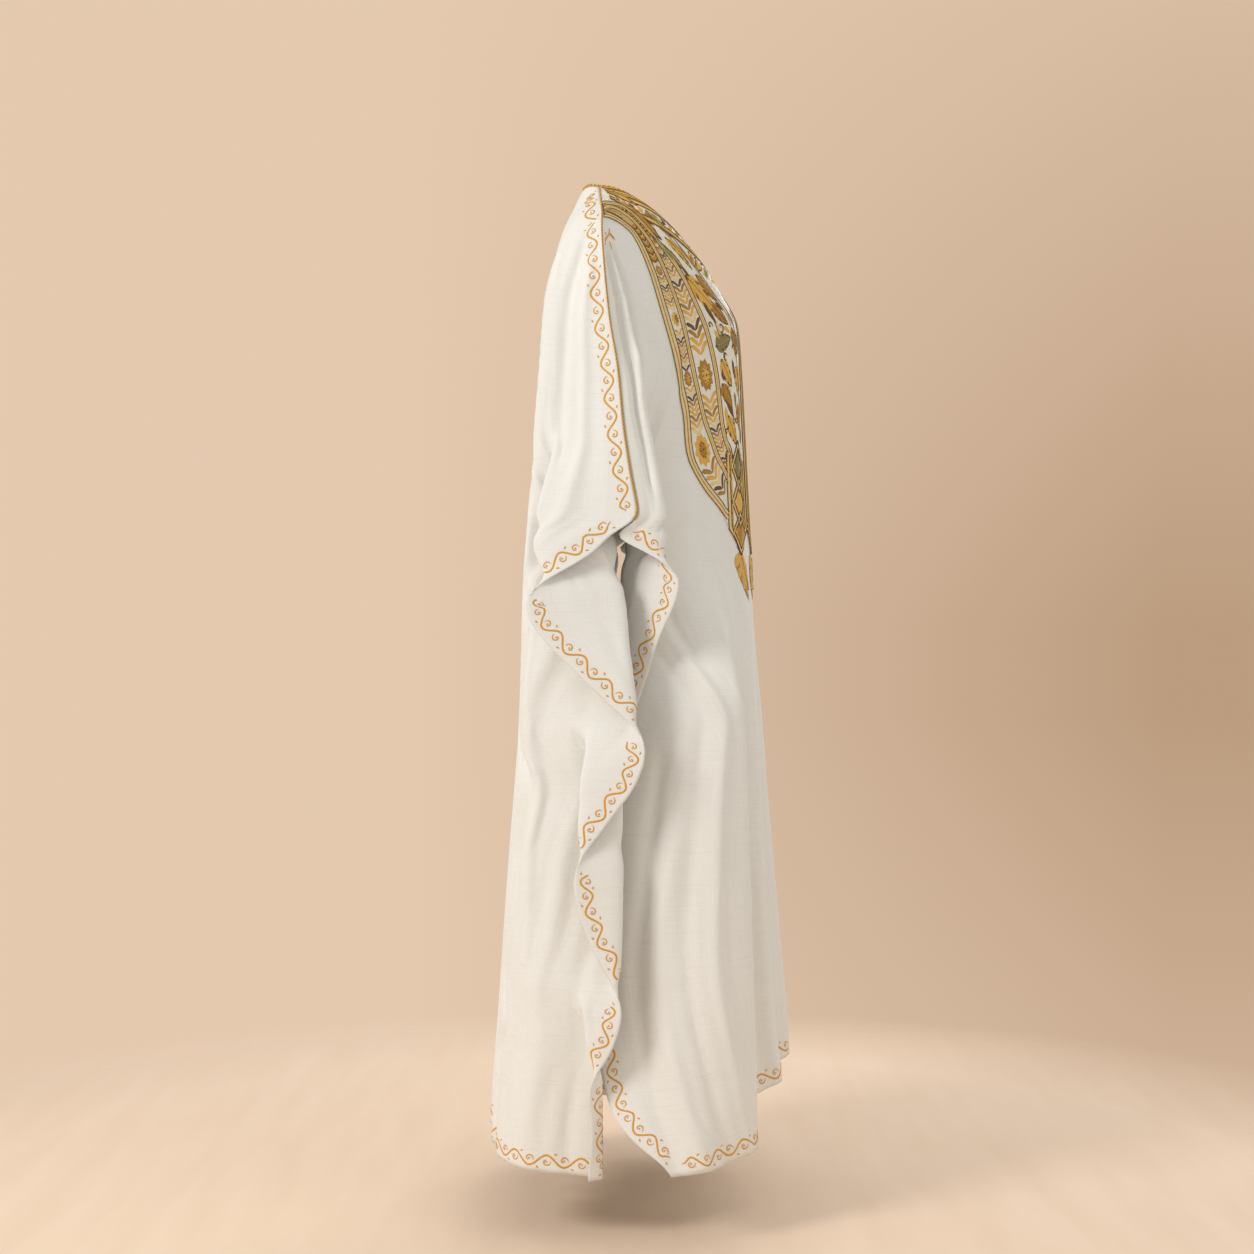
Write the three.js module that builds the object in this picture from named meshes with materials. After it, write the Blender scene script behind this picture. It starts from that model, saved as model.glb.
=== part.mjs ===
// A long, wide kaftan of ivory linen, worn with the arms down: millimetres, +Z up, front towards -Y,
// the wearer's right towards -X, origin between the shoulders at the height of the neck points.
//
// Each panel is a wall over one surface. The surface is a stack of level sections: at each height a
// smooth line runs from the middle of the panel, round the body and through the hanging folds, to
// the open side edge. Heights are given as a drop below the neck points, widths as a distance out
// from the middle plane, and the left half mirrors the right.
import * as THREE from 'three';

// ---- Driving sizes ----
const CLOTH = 1.6; // wall of a panel
const SEAM_GAP = 0.3; // between pieces that are sewn together
const SEAM_SET_BACK = 1.7; // each panel's edge from the line of the shoulder seam
const NECK = { out: 85, y: 41, drop: 0 }; // neck point, where the shoulder seam starts
const SHOULDER = { out: 195, y: 35, drop: 60 }; // where the seam turns down the arm
const WRIST_DROP = 501; // where the seam ends and the open side edges start
const BIB = { wall: 1.5, braid: 1.1, bottom: 536 };
const LEAF = { top: 537, bottom: 598, half: 24, tip: 2, wall: 1.8, rest: 0.8, rows: 6, halfColumns: 2 };
const CORD = { radius: 2, sides: 6, lift: 2.15 };
const BINDING = { radius: 2.0, sides: 6, clear: 0.3, lean: 0.8, probe: 0.02 };
const HALF_COLUMNS = 22;
const BIB_COLUMNS = 9;
const NECK_COLUMNS = { front: 5, back: 9 }; // columns of each panel that end on the neck opening
const BIB_TOP_SHARE = 0.936; // the bib's edge on the shoulder, as a share of the front's top line

// ---- Shoulder and sleeve seam, then each panel's open edge ----
const seamLine = [
  { drop: 60, out: 195, y: 35 },
  { drop: 80, out: 213, y: 35 },
  { drop: 131, out: 236, y: 32 },
  { drop: 213, out: 250, y: 24 },
  { drop: 287, out: 258, y: 12 },
  { drop: 362, out: 264, y: 5 },
  { drop: 430, out: 269, y: -5 },
  { drop: WRIST_DROP, out: 274, y: -17 },
];

const backEdge = [
  { drop: 509, out: 275, y: 6 },
  { drop: 518, out: 276, y: 22 },
  { drop: 540, out: 277, y: 40 },
  { drop: 563, out: 278, y: 76 },
  { drop: 596, out: 280, y: 130 },
  { drop: 615, out: 281, y: 142 },
  { drop: 642, out: 281, y: 133 },
  { drop: 708, out: 282, y: 74 },
  { drop: 768, out: 285, y: 11 },
  { drop: 800, out: 288, y: -21 },
  { drop: 822, out: 288, y: -26 },
  { drop: 863, out: 288, y: -14 },
  { drop: 916, out: 288, y: 24 },
  { drop: 1000, out: 290, y: 74 },
  { drop: 1069, out: 291, y: 58 },
  { drop: 1150, out: 293, y: 17 },
  { drop: 1180, out: 294, y: 7 },
  { drop: 1229, out: 292, y: 19 },
  { drop: 1294, out: 290, y: 54 },
  { drop: 1347, out: 288, y: 49 },
  { drop: 1414, out: 284, y: 54 },
];

const frontEdge = [
  { drop: 519, out: 268, y: 25 },
  { drop: BIB.bottom, out: 269, y: -11 },
  { drop: 559, out: 269, y: -51 },
  { drop: 580, out: 268, y: -74 },
  { drop: 604, out: 262, y: -71 },
  { drop: 666, out: 240, y: -45 },
  { drop: 749, out: 222, y: -18 },
  { drop: 840, out: 212, y: 20 },
  { drop: 950, out: 208, y: 45 },
  { drop: 1100, out: 212, y: 55 },
  { drop: 1200, out: 228, y: 48 },
  { drop: 1271, out: 254, y: 36 },
  { drop: 1325, out: 279, y: 19 },
  { drop: 1362, out: 294, y: -14 },
  { drop: 1404, out: 302, y: -62 },
];

// ---- Where each section runs: middle of the panel, its flat, and its corner at the side ----
const backBody = [
  { drop: 0, centre: 72, flatOut: 80, flat: 72, sideOut: 150, side: 66 },
  { drop: 60, centre: 98, flatOut: 90, flat: 99, sideOut: 175, side: 92 },
  { drop: 120, centre: 108, flatOut: 98, flat: 111, sideOut: 196, side: 108 },
  { drop: 200, centre: 113, flatOut: 104, flat: 118, sideOut: 212, side: 116 },
  { drop: 330, centre: 121, flatOut: 110, flat: 126, sideOut: 220, side: 128 },
  { drop: 480, centre: 133, flatOut: 112, flat: 138, sideOut: 222, side: 142 },
  { drop: 610, centre: 147, flatOut: 115, flat: 150, sideOut: 224, side: 150 },
  { drop: 800, centre: 161, flatOut: 120, flat: 161, sideOut: 228, side: 150 },
  { drop: 1000, centre: 178, flatOut: 125, flat: 177, sideOut: 236, side: 154 },
  { drop: 1200, centre: 192, flatOut: 130, flat: 190, sideOut: 246, side: 162 },
  { drop: 1414, centre: 206, flatOut: 135, flat: 202, sideOut: 256, side: 172 },
];

const frontBody = [
  { drop: 60, centre: -62, flatOut: 50, flat: -62, sideOut: 140, side: -34 },
  { drop: 104, centre: -104, flatOut: 50, flat: -101, sideOut: 150, side: -46 },
  { drop: 148, centre: -139, flatOut: 50, flat: -133, sideOut: 157, side: -58 },
  { drop: 194, centre: -166, flatOut: 50, flat: -160, sideOut: 162, side: -68 },
  { drop: 268, centre: -172, flatOut: 48, flat: -166, sideOut: 165, side: -74 },
  { drop: 380, centre: -178, flatOut: 46, flat: -171, sideOut: 166, side: -78 },
  { drop: 533, centre: -186, flatOut: 46, flat: -178, sideOut: 170, side: -88 },
  { drop: 622, centre: -190, flatOut: 64, flat: -186, sideOut: 190, side: -100 },
  { drop: 784, centre: -204, flatOut: 88, flat: -210, sideOut: 240, side: -100 },
  { drop: 934, centre: -216, flatOut: 84, flat: -226, sideOut: 256, side: -92 },
  { drop: 1071, centre: -228, flatOut: 82, flat: -238, sideOut: 264, side: -92 },
  { drop: 1290, centre: -246, flatOut: 80, flat: -254, sideOut: 280, side: -104 },
  { drop: 1404, centre: -250, flatOut: 80, flat: -258, sideOut: 292, side: -112 },
];

// ---- Hanging folds. A row is one fold's tip, listed from the body outwards. It grows between the
// drops `from` and `full`, moves from its first place to its last, and runs into the open edge at
// `to`. Above `from` it rests on the plain line, at the share `rest` of the way to the next one. ----
const NEVER = 5000;
const backFolds = [
  { from: 1120, full: 1230, to: NEVER, out: 274, y: 34, outTo: 270, yTo: 34, width: 9, rest: 0.50 },
  { from: 1120, full: 1230, to: 1294, out: 284, y: 60, outTo: 290, yTo: 54, width: 8, rest: 0.60 },
  { from: 740, full: 890, to: 1180, out: 258, y: 4, outTo: 294, yTo: 7, width: 14, rest: 0.50 },
  { from: 740, full: 890, to: 1000, out: 278, y: 70, outTo: 290, yTo: 74, width: 12, rest: 0.60 },
  { from: 330, full: 545, to: 822, out: 247, y: 11, outTo: 288, yTo: -26, width: 14, rest: 0.20 },
  { from: 330, full: 545, to: 615, out: 266, y: 136, outTo: 281, yTo: 142, width: 13, rest: 0.30 },
];
const frontMiddleFolds = [
  { from: 560, full: 800, to: NEVER, out: 140, y: -112, outTo: 142, yTo: -118, width: 26, rest: 0.45 },
  { from: 560, full: 800, to: NEVER, out: 208, y: -170, outTo: 216, yTo: -188, width: 9, rest: 0.70 },
];
const frontSideFolds = [
  { from: 230, full: 430, to: 830, out: 190, y: 2, outTo: 212, yTo: 20, width: 16, rest: 0.40 },
  { from: 230, full: 330, to: 594, out: 249, y: -26, outTo: 266, yTo: -75, width: 12, rest: 0.70 },
];

// Soft waves across the middle of a panel, growing towards the hem; they press inwards only.
const WAVE_COLUMNS = 4; // columns of the wall in one wave
const backWaves = { from: 200, full: 1000, depth: 48, reach: 0.34, fade: 0.16 };
const frontWaves = { from: 640, full: 1050, depth: 34, reach: 0.16, fade: 0.10 };

// ---- The bib's half width, measured along the cloth from the middle ----
const bibWidth = [
  { drop: 185, half: 222 },
  { drop: 240, half: 218 },
  { drop: 280, half: 210 },
  { drop: 320, half: 201 },
  { drop: 350, half: 194 },
  { drop: 383, half: 191 },
  { drop: 408, half: 184 },
  { drop: 436, half: 166 },
  { drop: 455, half: 148 },
  { drop: 474, half: 116 },
  { drop: 486, half: 80 },
  { drop: 495, half: 40 },
  { drop: 515, half: 22 },
  { drop: BIB.bottom, half: 7 },
];
const BRAID_COLUMNS = [3, 6, 9];

// ---- Small tools ----
const mix = (a, b, t) => a + (b - a) * t;
const clamp01 = (t) => Math.min(1, Math.max(0, t));
const ease = (from, to, x) => {
  const t = clamp01((x - from) / (to - from));
  return t * t * (3 - 2 * t);
};

// The value of a table's column at a drop: a smooth line through the rows that never overshoots.
function slopeAt(rows, name, i) {
  if (i === 0 || i === rows.length - 1) return 0;
  const before = (rows[i][name] - rows[i - 1][name]) / (rows[i].drop - rows[i - 1].drop);
  const after = (rows[i + 1][name] - rows[i][name]) / (rows[i + 1].drop - rows[i].drop);
  return before * after <= 0 ? 0 : (2 * before * after) / (before + after);
}

function lookUp(rows, name, drop) {
  const last = rows.length - 1;
  if (drop <= rows[0].drop) return rows[0][name];
  if (drop >= rows[last].drop) return rows[last][name];
  const i = rows.findIndex((row) => row.drop > drop) - 1;
  const step = rows[i + 1].drop - rows[i].drop;
  const t = (drop - rows[i].drop) / step;
  const rise = slopeAt(rows, name, i) * step;
  const fall = slopeAt(rows, name, i + 1) * step;
  const start = rows[i][name] * (1 + 2 * t) * (1 - t) * (1 - t);
  const end = rows[i + 1][name] * t * t * (3 - 2 * t);
  return start + end + rise * t * (1 - t) * (1 - t) - fall * t * t * (1 - t);
}

// ---- The two panels ----
const back = {
  turn: 1,
  edge: [...seamLine, ...backEdge],
  body: backBody,
  middleFolds: [],
  sideFolds: backFolds,
  waves: backWaves,
  neckShare: NECK_COLUMNS.back / HALF_COLUMNS,
  yokeDrop: 185,
  hemDrop: 1414,
  hemRise: 46,
  neckLine: (h) => ({
    out: NECK.out * Math.sin((h * Math.PI) / 2),
    y: NECK.y + 25 * Math.cos((h * Math.PI) / 2),
    drop: -7 * Math.cos((h * Math.PI) / 2),
  }),
};

const front = {
  turn: -1,
  edge: [...seamLine, ...frontEdge],
  body: frontBody,
  middleFolds: frontMiddleFolds,
  sideFolds: frontSideFolds,
  waves: frontWaves,
  neckShare: (BIB_TOP_SHARE * NECK_COLUMNS.front) / BIB_COLUMNS,
  yokeDrop: 185,
  hemDrop: 1404,
  hemRise: 114,
  neckLine: (h) => ({
    out: NECK.out * Math.sin((h * Math.PI) / 2),
    y: NECK.y - 124 * Math.cos((h * Math.PI) / 2),
    drop: 92 * Math.cos((h * Math.PI) / 2) ** 2,
  }),
};

const RISE_FROM = 900; // the hem's curve fades out above this drop

function edgeAt(panel, drop) {
  return { out: lookUp(panel.edge, 'out', drop), y: lookUp(panel.edge, 'y', drop) };
}

// A fold's tip as a pair of control points, on the body's side and on the open edge's side.
function foldPair(fold, anchor, next, edge, drop) {
  const grown = ease(fold.from, fold.full, drop);
  const along = clamp01((drop - fold.full) / (Math.min(fold.to, 1414) - fold.full));
  const merged = ease(fold.to - 60, fold.to, drop);
  const point = (name) => {
    const resting = mix(anchor[name], next[name], fold.rest);
    const hanging = mix(fold[name], fold[`${name}To`], along);
    return mix(mix(resting, hanging, grown), edge[name], merged);
  };
  const half = (fold.width / 2) * grown * (1 - merged);
  const tip = { out: point('out'), y: point('y') };
  return [{ out: tip.out - half, y: tip.y }, { out: tip.out + half, y: tip.y }];
}

function foldChain(folds, anchor, next, edge, drop) {
  let outer = next;
  const chain = [];
  for (const fold of [...folds].reverse()) {
    const pair = foldPair(fold, anchor, outer, edge, drop);
    outer = pair[0];
    chain.unshift(...pair);
  }
  return chain;
}

// One level section as a fine line of points, from the middle to the open edge.
const ROUNDING = 1e-6;
const BEND_STEPS = 8;
function sectionLine(panel, drop) {
  const edge = edgeAt(panel, drop);
  const value = (name) => lookUp(panel.body, name, drop);
  const lifted = drop - panel.hemRise * ease(RISE_FROM, panel.hemDrop, drop);
  const centre = { out: 0, y: lookUp(panel.body, 'centre', lifted) };
  const flat = { out: value('flatOut'), y: value('flat') };
  const side = { out: value('sideOut'), y: value('side') };
  const controls = [
    centre,
    flat,
    ...foldChain(panel.middleFolds, flat, side, side, drop),
    side,
    ...foldChain(panel.sideFolds, side, edge, edge, drop),
    edge,
  ];
  const last = controls.length - 1;
  const halfWay = (a, b) => ({ out: mix(a.out, b.out, 0.5), y: mix(a.y, b.y, 0.5) });
  const line = [centre];
  for (let i = 1; i < last; i += 1) {
    const start = i === 1 ? controls[0] : halfWay(controls[i - 1], controls[i]);
    const end = i === last - 1 ? controls[last] : halfWay(controls[i], controls[i + 1]);
    for (let k = 1; k <= BEND_STEPS; k += 1) {
      const t = k / BEND_STEPS;
      const bend = (name) =>
        start[name] * (1 - t) * (1 - t) + 2 * controls[i][name] * t * (1 - t) + end[name] * t * t;
      line.push({ out: bend('out'), y: bend('y') });
    }
  }
  let length = 0;
  line[0].at = 0;
  for (let i = 1; i < line.length; i += 1) {
    length += Math.hypot(line[i].out - line[i - 1].out, line[i].y - line[i - 1].y);
    line[i].at = length;
  }
  return line;
}

const sectionCache = new Map();
function section(panel, drop) {
  const key = `${panel.turn}:${drop.toFixed(4)}`;
  if (!sectionCache.has(key)) sectionCache.set(key, sectionLine(panel, drop));
  return sectionCache.get(key);
}

// The point at a share of the section's length, with the soft waves pressed in.
function bodyPoint(panel, share, drop) {
  const line = section(panel, drop);
  const length = line[line.length - 1].at;
  const at = share * length;
  let i = line.findIndex((point) => point.at > at);
  if (i < 1) i = share > 0.5 ? line.length - 1 : 1;
  const [a, b] = [line[i - 1], line[i]];
  const gap = b.at - a.at || 1;
  const t = clamp01((at - a.at) / gap);
  const { from, full, depth, reach, fade } = panel.waves;
  const press = depth * ease(from, full, drop) * (1 - ease(reach, reach + fade, share));
  const turns = (share * HALF_COLUMNS) / WAVE_COLUMNS;
  const pressed = (press * (1 - Math.cos(2 * Math.PI * turns))) / 2;
  const across = { out: (b.out - a.out) / gap, y: (b.y - a.y) / gap };
  const sag = panel.hemRise * (1 - share) ** 1.5 * ease(RISE_FROM, panel.hemDrop, drop);
  return {
    out: mix(a.out, b.out, t) + panel.turn * across.y * pressed,
    y: mix(a.y, b.y, t) - panel.turn * across.out * pressed,
    drop: drop - sag,
  };
}

// The top line: round the neck, then along the shoulder.
function topPoint(panel, share) {
  if (share < panel.neckShare) return panel.neckLine(share / panel.neckShare);
  const g = (share - panel.neckShare) / (1 - panel.neckShare);
  return {
    out: mix(NECK.out, SHOULDER.out, g),
    y: mix(NECK.y, SHOULDER.y, g),
    drop: SHOULDER.drop * (0.75 * g + 0.25 * g * g),
  };
}

// The yoke joins the top line to the first full section, leaving the shoulder level and arriving
// upright; its ends keep to the seam and to the panel's middle line.
const ROUND = 0.6;
function yokePoint(panel, share, down) {
  const top = topPoint(panel, share);
  const low = bodyPoint(panel, share, panel.yokeDrop);
  const outward = mix(down, Math.sin((down * Math.PI) / 2), ROUND);
  const downward = mix(down, 1 - Math.cos((down * Math.PI) / 2), ROUND);
  const drop = mix(top.drop, low.drop, downward);
  const point = { out: mix(top.out, low.out, outward), y: mix(top.y, low.y, outward), drop };
  const seamTop = topPoint(panel, 1);
  const seamLow = bodyPoint(panel, 1, panel.yokeDrop);
  const seamDrop = mix(seamTop.drop, seamLow.drop, downward);
  const seam = edgeAt(panel, seamDrop);
  const pull = share ** 3;
  point.out += pull * (seam.out - mix(seamTop.out, seamLow.out, outward));
  point.y += pull * (seam.y - mix(seamTop.y, seamLow.y, outward));
  const centreTop = topPoint(panel, 0);
  const centreLow = bodyPoint(panel, 0, panel.yokeDrop);
  const centreDrop = mix(centreTop.drop, centreLow.drop, downward);
  const centre = lookUp(panel.body, 'centre', centreDrop);
  const hold = (1 - share) ** 3 * ease(0, 0.3, down);
  point.y += hold * (centre - mix(centreTop.y, centreLow.y, outward));
  return point;
}

// A row of the wall is either in the yoke, down from 0 to 1, or a level section.
function surfacePoint(panel, row, share) {
  const point = row.drop === undefined
    ? yokePoint(panel, share, row.down)
    : bodyPoint(panel, share, row.drop);
  const onShoulder = row.down === 0 && share > panel.neckShare - ROUNDING;
  const seamed = row.drop === undefined || row.drop <= WRIST_DROP;
  const towardSeam = seamed ? share ** 8 : 0;
  const setBack = panel.turn * SEAM_SET_BACK * (onShoulder ? 1 : towardSeam);
  return new THREE.Vector3(-point.out, point.y + setBack, -point.drop);
}

// ---- Rows and columns of each wall ----
const YOKE_ROWS = [
  { down: 0, bibShare: BIB_TOP_SHARE },
  { down: 0.12, bibShare: 0.93 },
  { down: 0.38, bibShare: 0.80 },
  { down: 0.68, bibShare: 0.74 },
];
const levelRows = (drops) => drops.map((drop) => ({ drop }));
const dropsOf = (rows) => rows.map((row) => row.drop);
const rising = (drops) => [...new Set(drops)].sort((a, b) => a - b);

// Both panels share the rows down to the wrist, so that their seam edges lie along each other.
const bibDrops = dropsOf(bibWidth);
const seamDrops = bibDrops.filter((drop) => drop < WRIST_DROP);
const backDrops = rising([...seamDrops, WRIST_DROP, ...dropsOf(backEdge)]);
const frontDrops = rising([...bibDrops, WRIST_DROP, ...dropsOf(frontEdge)]);
const backRows = [...YOKE_ROWS, ...levelRows(backDrops)];
const frontRows = [...YOKE_ROWS, ...levelRows(frontDrops)];

const evenShares = (count) => Array.from({ length: count + 1 }, (_, j) => j / count);
const BIB_FREE_DROP = 760; // below this the columns are even again

// On the front one column follows the bib's edge, so the bib lies on whole faces of the panel.
function bibShareAt(row) {
  if (row.drop === undefined) return row.bibShare;
  const edge = lookUp(bibWidth, 'half', row.drop) / section(front, row.drop).at(-1).at;
  const even = BIB_COLUMNS / HALF_COLUMNS;
  return mix(edge, even, ease(BIB.bottom, BIB_FREE_DROP, row.drop));
}

function frontShares(row) {
  const turnShare = bibShareAt(row);
  return evenShares(HALF_COLUMNS).map((_, j) => {
    if (j <= BIB_COLUMNS) return (turnShare * j) / BIB_COLUMNS;
    return mix(turnShare, 1, (j - BIB_COLUMNS) / (HALF_COLUMNS - BIB_COLUMNS));
  });
}

// A full-width grid of points: the right half and its mirror image, left to right.
function mirrored(half) {
  const left = half.slice(1).reverse().map((p) => new THREE.Vector3(-p.x, p.y, p.z));
  return [...left, ...half];
}

function panelGrid(panel, rows, sharesOf) {
  return rows.map((row) => mirrored(sharesOf(row).map((share) => surfacePoint(panel, row, share))));
}

// Unit normals of a grid, pointing away from the body for either panel.
function gridNormals(grid, turn) {
  const side = new THREE.Vector3();
  const down = new THREE.Vector3();
  return grid.map((row, i) => row.map((_, j) => {
    const above = grid[Math.max(i - 1, 0)][j];
    const below = grid[Math.min(i + 1, grid.length - 1)][j];
    side.subVectors(row[Math.min(j + 1, row.length - 1)], row[Math.max(j - 1, 0)]);
    down.subVectors(below, above);
    return new THREE.Vector3().crossVectors(side, down).multiplyScalar(-turn).normalize();
  }));
}

const lifted = (grid, normals, heightOf) =>
  grid.map((row, i) => row.map((p, j) => p.clone().addScaledVector(normals[i][j], heightOf(i, j))));

// A closed wall between two grids, its four edges joined; `outer` faces away from the body.
function wall(outer, inner, turn) {
  const rows = outer.length;
  const columns = outer[0].length;
  const positions = [...outer.flat(), ...inner.flat()].flatMap((p) => [p.x, p.y, p.z]);
  const index = [];
  const at = (layer, i, j) => layer * rows * columns + i * columns + j;
  const quad = (a, b, c, d) => (turn < 0 ? index.push(a, b, c, a, c, d) : index.push(a, c, b, a, d, c));
  for (let i = 0; i < rows - 1; i += 1) {
    for (let j = 0; j < columns - 1; j += 1) {
      quad(at(0, i, j), at(0, i, j + 1), at(0, i + 1, j + 1), at(0, i + 1, j));
      quad(at(1, i, j), at(1, i + 1, j), at(1, i + 1, j + 1), at(1, i, j + 1));
    }
  }
  for (let j = 0; j < columns - 1; j += 1) {
    quad(at(0, 0, j + 1), at(0, 0, j), at(1, 0, j), at(1, 0, j + 1));
    quad(at(0, rows - 1, j), at(0, rows - 1, j + 1), at(1, rows - 1, j + 1), at(1, rows - 1, j));
  }
  for (let i = 0; i < rows - 1; i += 1) {
    quad(at(0, i, 0), at(0, i + 1, 0), at(1, i + 1, 0), at(1, i, 0));
    const last = columns - 1;
    quad(at(0, i + 1, last), at(0, i, last), at(1, i, last), at(1, i + 1, last));
  }
  const geometry = new THREE.BufferGeometry();
  geometry.setAttribute('position', new THREE.Float32BufferAttribute(positions, 3));
  geometry.setIndex(index);
  geometry.computeVertexNormals();
  return geometry;
}

// A round cord through a line of points; `closed` joins its ends.
function cord(points, normals, radius, sides, closed) {
  const count = points.length;
  const positions = [];
  const along = new THREE.Vector3();
  const across = new THREE.Vector3();
  points.forEach((point, i) => {
    const next = closed ? points[(i + 1) % count] : points[Math.min(i + 1, count - 1)];
    const previous = closed ? points[(i + count - 1) % count] : points[Math.max(i - 1, 0)];
    along.subVectors(next, previous).normalize();
    const up = normals[i].clone().addScaledVector(along, -normals[i].dot(along)).normalize();
    across.crossVectors(along, up);
    for (let k = 0; k < sides; k += 1) {
      const angle = (2 * Math.PI * k) / sides;
      const p = point.clone();
      p.addScaledVector(up, radius * Math.cos(angle)).addScaledVector(across, radius * Math.sin(angle));
      positions.push(p.x, p.y, p.z);
    }
  });
  const index = [];
  const spans = closed ? count : count - 1;
  for (let i = 0; i < spans; i += 1) {
    for (let k = 0; k < sides; k += 1) {
      const [a, b] = [i * sides + k, i * sides + ((k + 1) % sides)];
      const [c, d] = [((i + 1) % count) * sides + ((k + 1) % sides), ((i + 1) % count) * sides + k];
      index.push(a, b, c, a, c, d);
    }
  }
  if (!closed) {
    const end = (count - 1) * sides;
    for (let k = 1; k < sides - 1; k += 1) {
      index.push(0, k + 1, k);
      index.push(end, end + k, end + k + 1);
    }
  }
  const geometry = new THREE.BufferGeometry();
  geometry.setAttribute('position', new THREE.Float32BufferAttribute(positions, 3));
  geometry.setIndex(index);
  geometry.computeVertexNormals();
  return geometry;
}

// ---- Materials ----
const linen = new THREE.MeshStandardMaterial({ color: 0xf2eee3, roughness: 0.86, metalness: 0 });
const goldThread = new THREE.MeshStandardMaterial({ color: 0xd59a35, roughness: 0.55, metalness: 0.1 });
const braid = new THREE.MeshStandardMaterial({ color: 0xc8912f, roughness: 0.6, metalness: 0.1 });

const kaftan = new THREE.Group();
function addPiece(name, geometry, material) {
  const piece = new THREE.Mesh(geometry, material);
  piece.name = name;
  kaftan.add(piece);
}

// ---- Panels ----
const backGrid = panelGrid(back, backRows, () => evenShares(HALF_COLUMNS));
const backNormals = gridNormals(backGrid, back.turn);
const backInner = lifted(backGrid, backNormals, () => -CLOTH);
addPiece('back_panel', wall(backGrid, backInner, back.turn), linen);

const frontGrid = panelGrid(front, frontRows, frontShares);
const frontNormals = gridNormals(frontGrid, front.turn);
const frontInner = lifted(frontGrid, frontNormals, () => -CLOTH);
addPiece('front_panel', wall(frontGrid, frontInner, front.turn), linen);

// ---- Bib: the panel's own faces, moved out, with three raised braids on each side ----
const bibRowCount = frontRows.findIndex((row) => row.drop === BIB.bottom) + 1;
const bibStart = HALF_COLUMNS - BIB_COLUMNS;
const bibColumnCount = 2 * BIB_COLUMNS + 1;
const bibPart = (grid) =>
  grid.slice(1, bibRowCount).map((row) => row.slice(bibStart, bibStart + bibColumnCount));
const bibGrid = bibPart(frontGrid);
const bibNormals = bibPart(frontNormals);
const braidHeight = (j) => (BRAID_COLUMNS.includes(Math.abs(j - BIB_COLUMNS)) ? BIB.braid : 0);
const bibOuter = lifted(bibGrid, bibNormals, (_, j) => SEAM_GAP + BIB.wall + braidHeight(j));
const bibInner = lifted(bibGrid, bibNormals, () => SEAM_GAP);
addPiece('bib', wall(bibOuter, bibInner, front.turn), goldThread);

// ---- Leaf drop: a pointed oval lying on the panel under the bib ----
function leafGrid() {
  return evenShares(LEAF.rows).map((t) => {
    const drop = mix(LEAF.top, LEAF.bottom, t);
    const length = section(front, drop).at(-1).at;
    const half = LEAF.tip + LEAF.half * Math.sin(Math.PI * t ** 0.8);
    const shares = evenShares(LEAF.halfColumns).map((s) => (s * half) / length);
    return mirrored(shares.map((share) => surfacePoint(front, { drop }, share)));
  });
}
const leaf = leafGrid();
const leafNormals = gridNormals(leaf, front.turn);
const leafOuter = lifted(leaf, leafNormals, () => LEAF.rest + LEAF.wall);
const leafInner = lifted(leaf, leafNormals, () => LEAF.rest);
addPiece('bib_leaf', wall(leafOuter, leafInner, front.turn), goldThread);

// ---- Cord along each shoulder-and-sleeve seam, lying in the gap between the two panels' edges ----
function seamCord(sign) {
  const seam = [];
  for (let j = NECK_COLUMNS.back + 1; j < HALF_COLUMNS; j += 1) {
    seam.push(backGrid[0][HALF_COLUMNS - sign * j]);
  }
  const edgeColumn = HALF_COLUMNS - sign * HALF_COLUMNS;
  const seamRows = backRows.findIndex((row) => row.drop === WRIST_DROP) + 1;
  for (let i = 0; i < seamRows; i += 1) seam.push(backGrid[i][edgeColumn]);
  const normals = seam.map((_, i) => {
    const along = seam[Math.min(i + 1, seam.length - 1)].clone().sub(seam[Math.max(i - 1, 0)]);
    return new THREE.Vector3(sign * Math.abs(along.z), 0, Math.abs(along.x)).normalize();
  });
  const points = seam.map((p, i) => {
    const centre = p.clone().addScaledVector(normals[i], CORD.lift);
    centre.y -= back.turn * SEAM_SET_BACK;
    return centre;
  });
  return { points, normals };
}
for (const [name, sign] of [['seam_cord_right', -1], ['seam_cord_left', 1]]) {
  const { points, normals } = seamCord(sign);
  addPiece(name, cord(points, normals, CORD.radius, CORD.sides, false), braid);
}

// ---- Binding round the neck, just past the panels' cut edges ----
function bindingPoint(panel, share, side) {
  const mirror = new THREE.Vector3(-side, 1, 1);
  const at = (down, along) => surfacePoint(panel, { down }, along).multiply(mirror);
  const edge = at(0, share);
  const before = at(0, Math.max(share - BINDING.probe, 0));
  const tangent = at(0, share + BINDING.probe).sub(before).normalize();
  const away = edge.clone().sub(at(YOKE_ROWS[1].down, share));
  away.addScaledVector(tangent, -away.dot(tangent)).normalize();
  const overNeckPoint = new THREE.Vector3(-side * BINDING.lean, 0, 1).normalize();
  away.lerp(overNeckPoint, ease(0.6, 1, share / panel.neckShare)).normalize();
  return edge.addScaledVector(away, BINDING.radius + SEAM_GAP + BINDING.clear);
}

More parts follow.
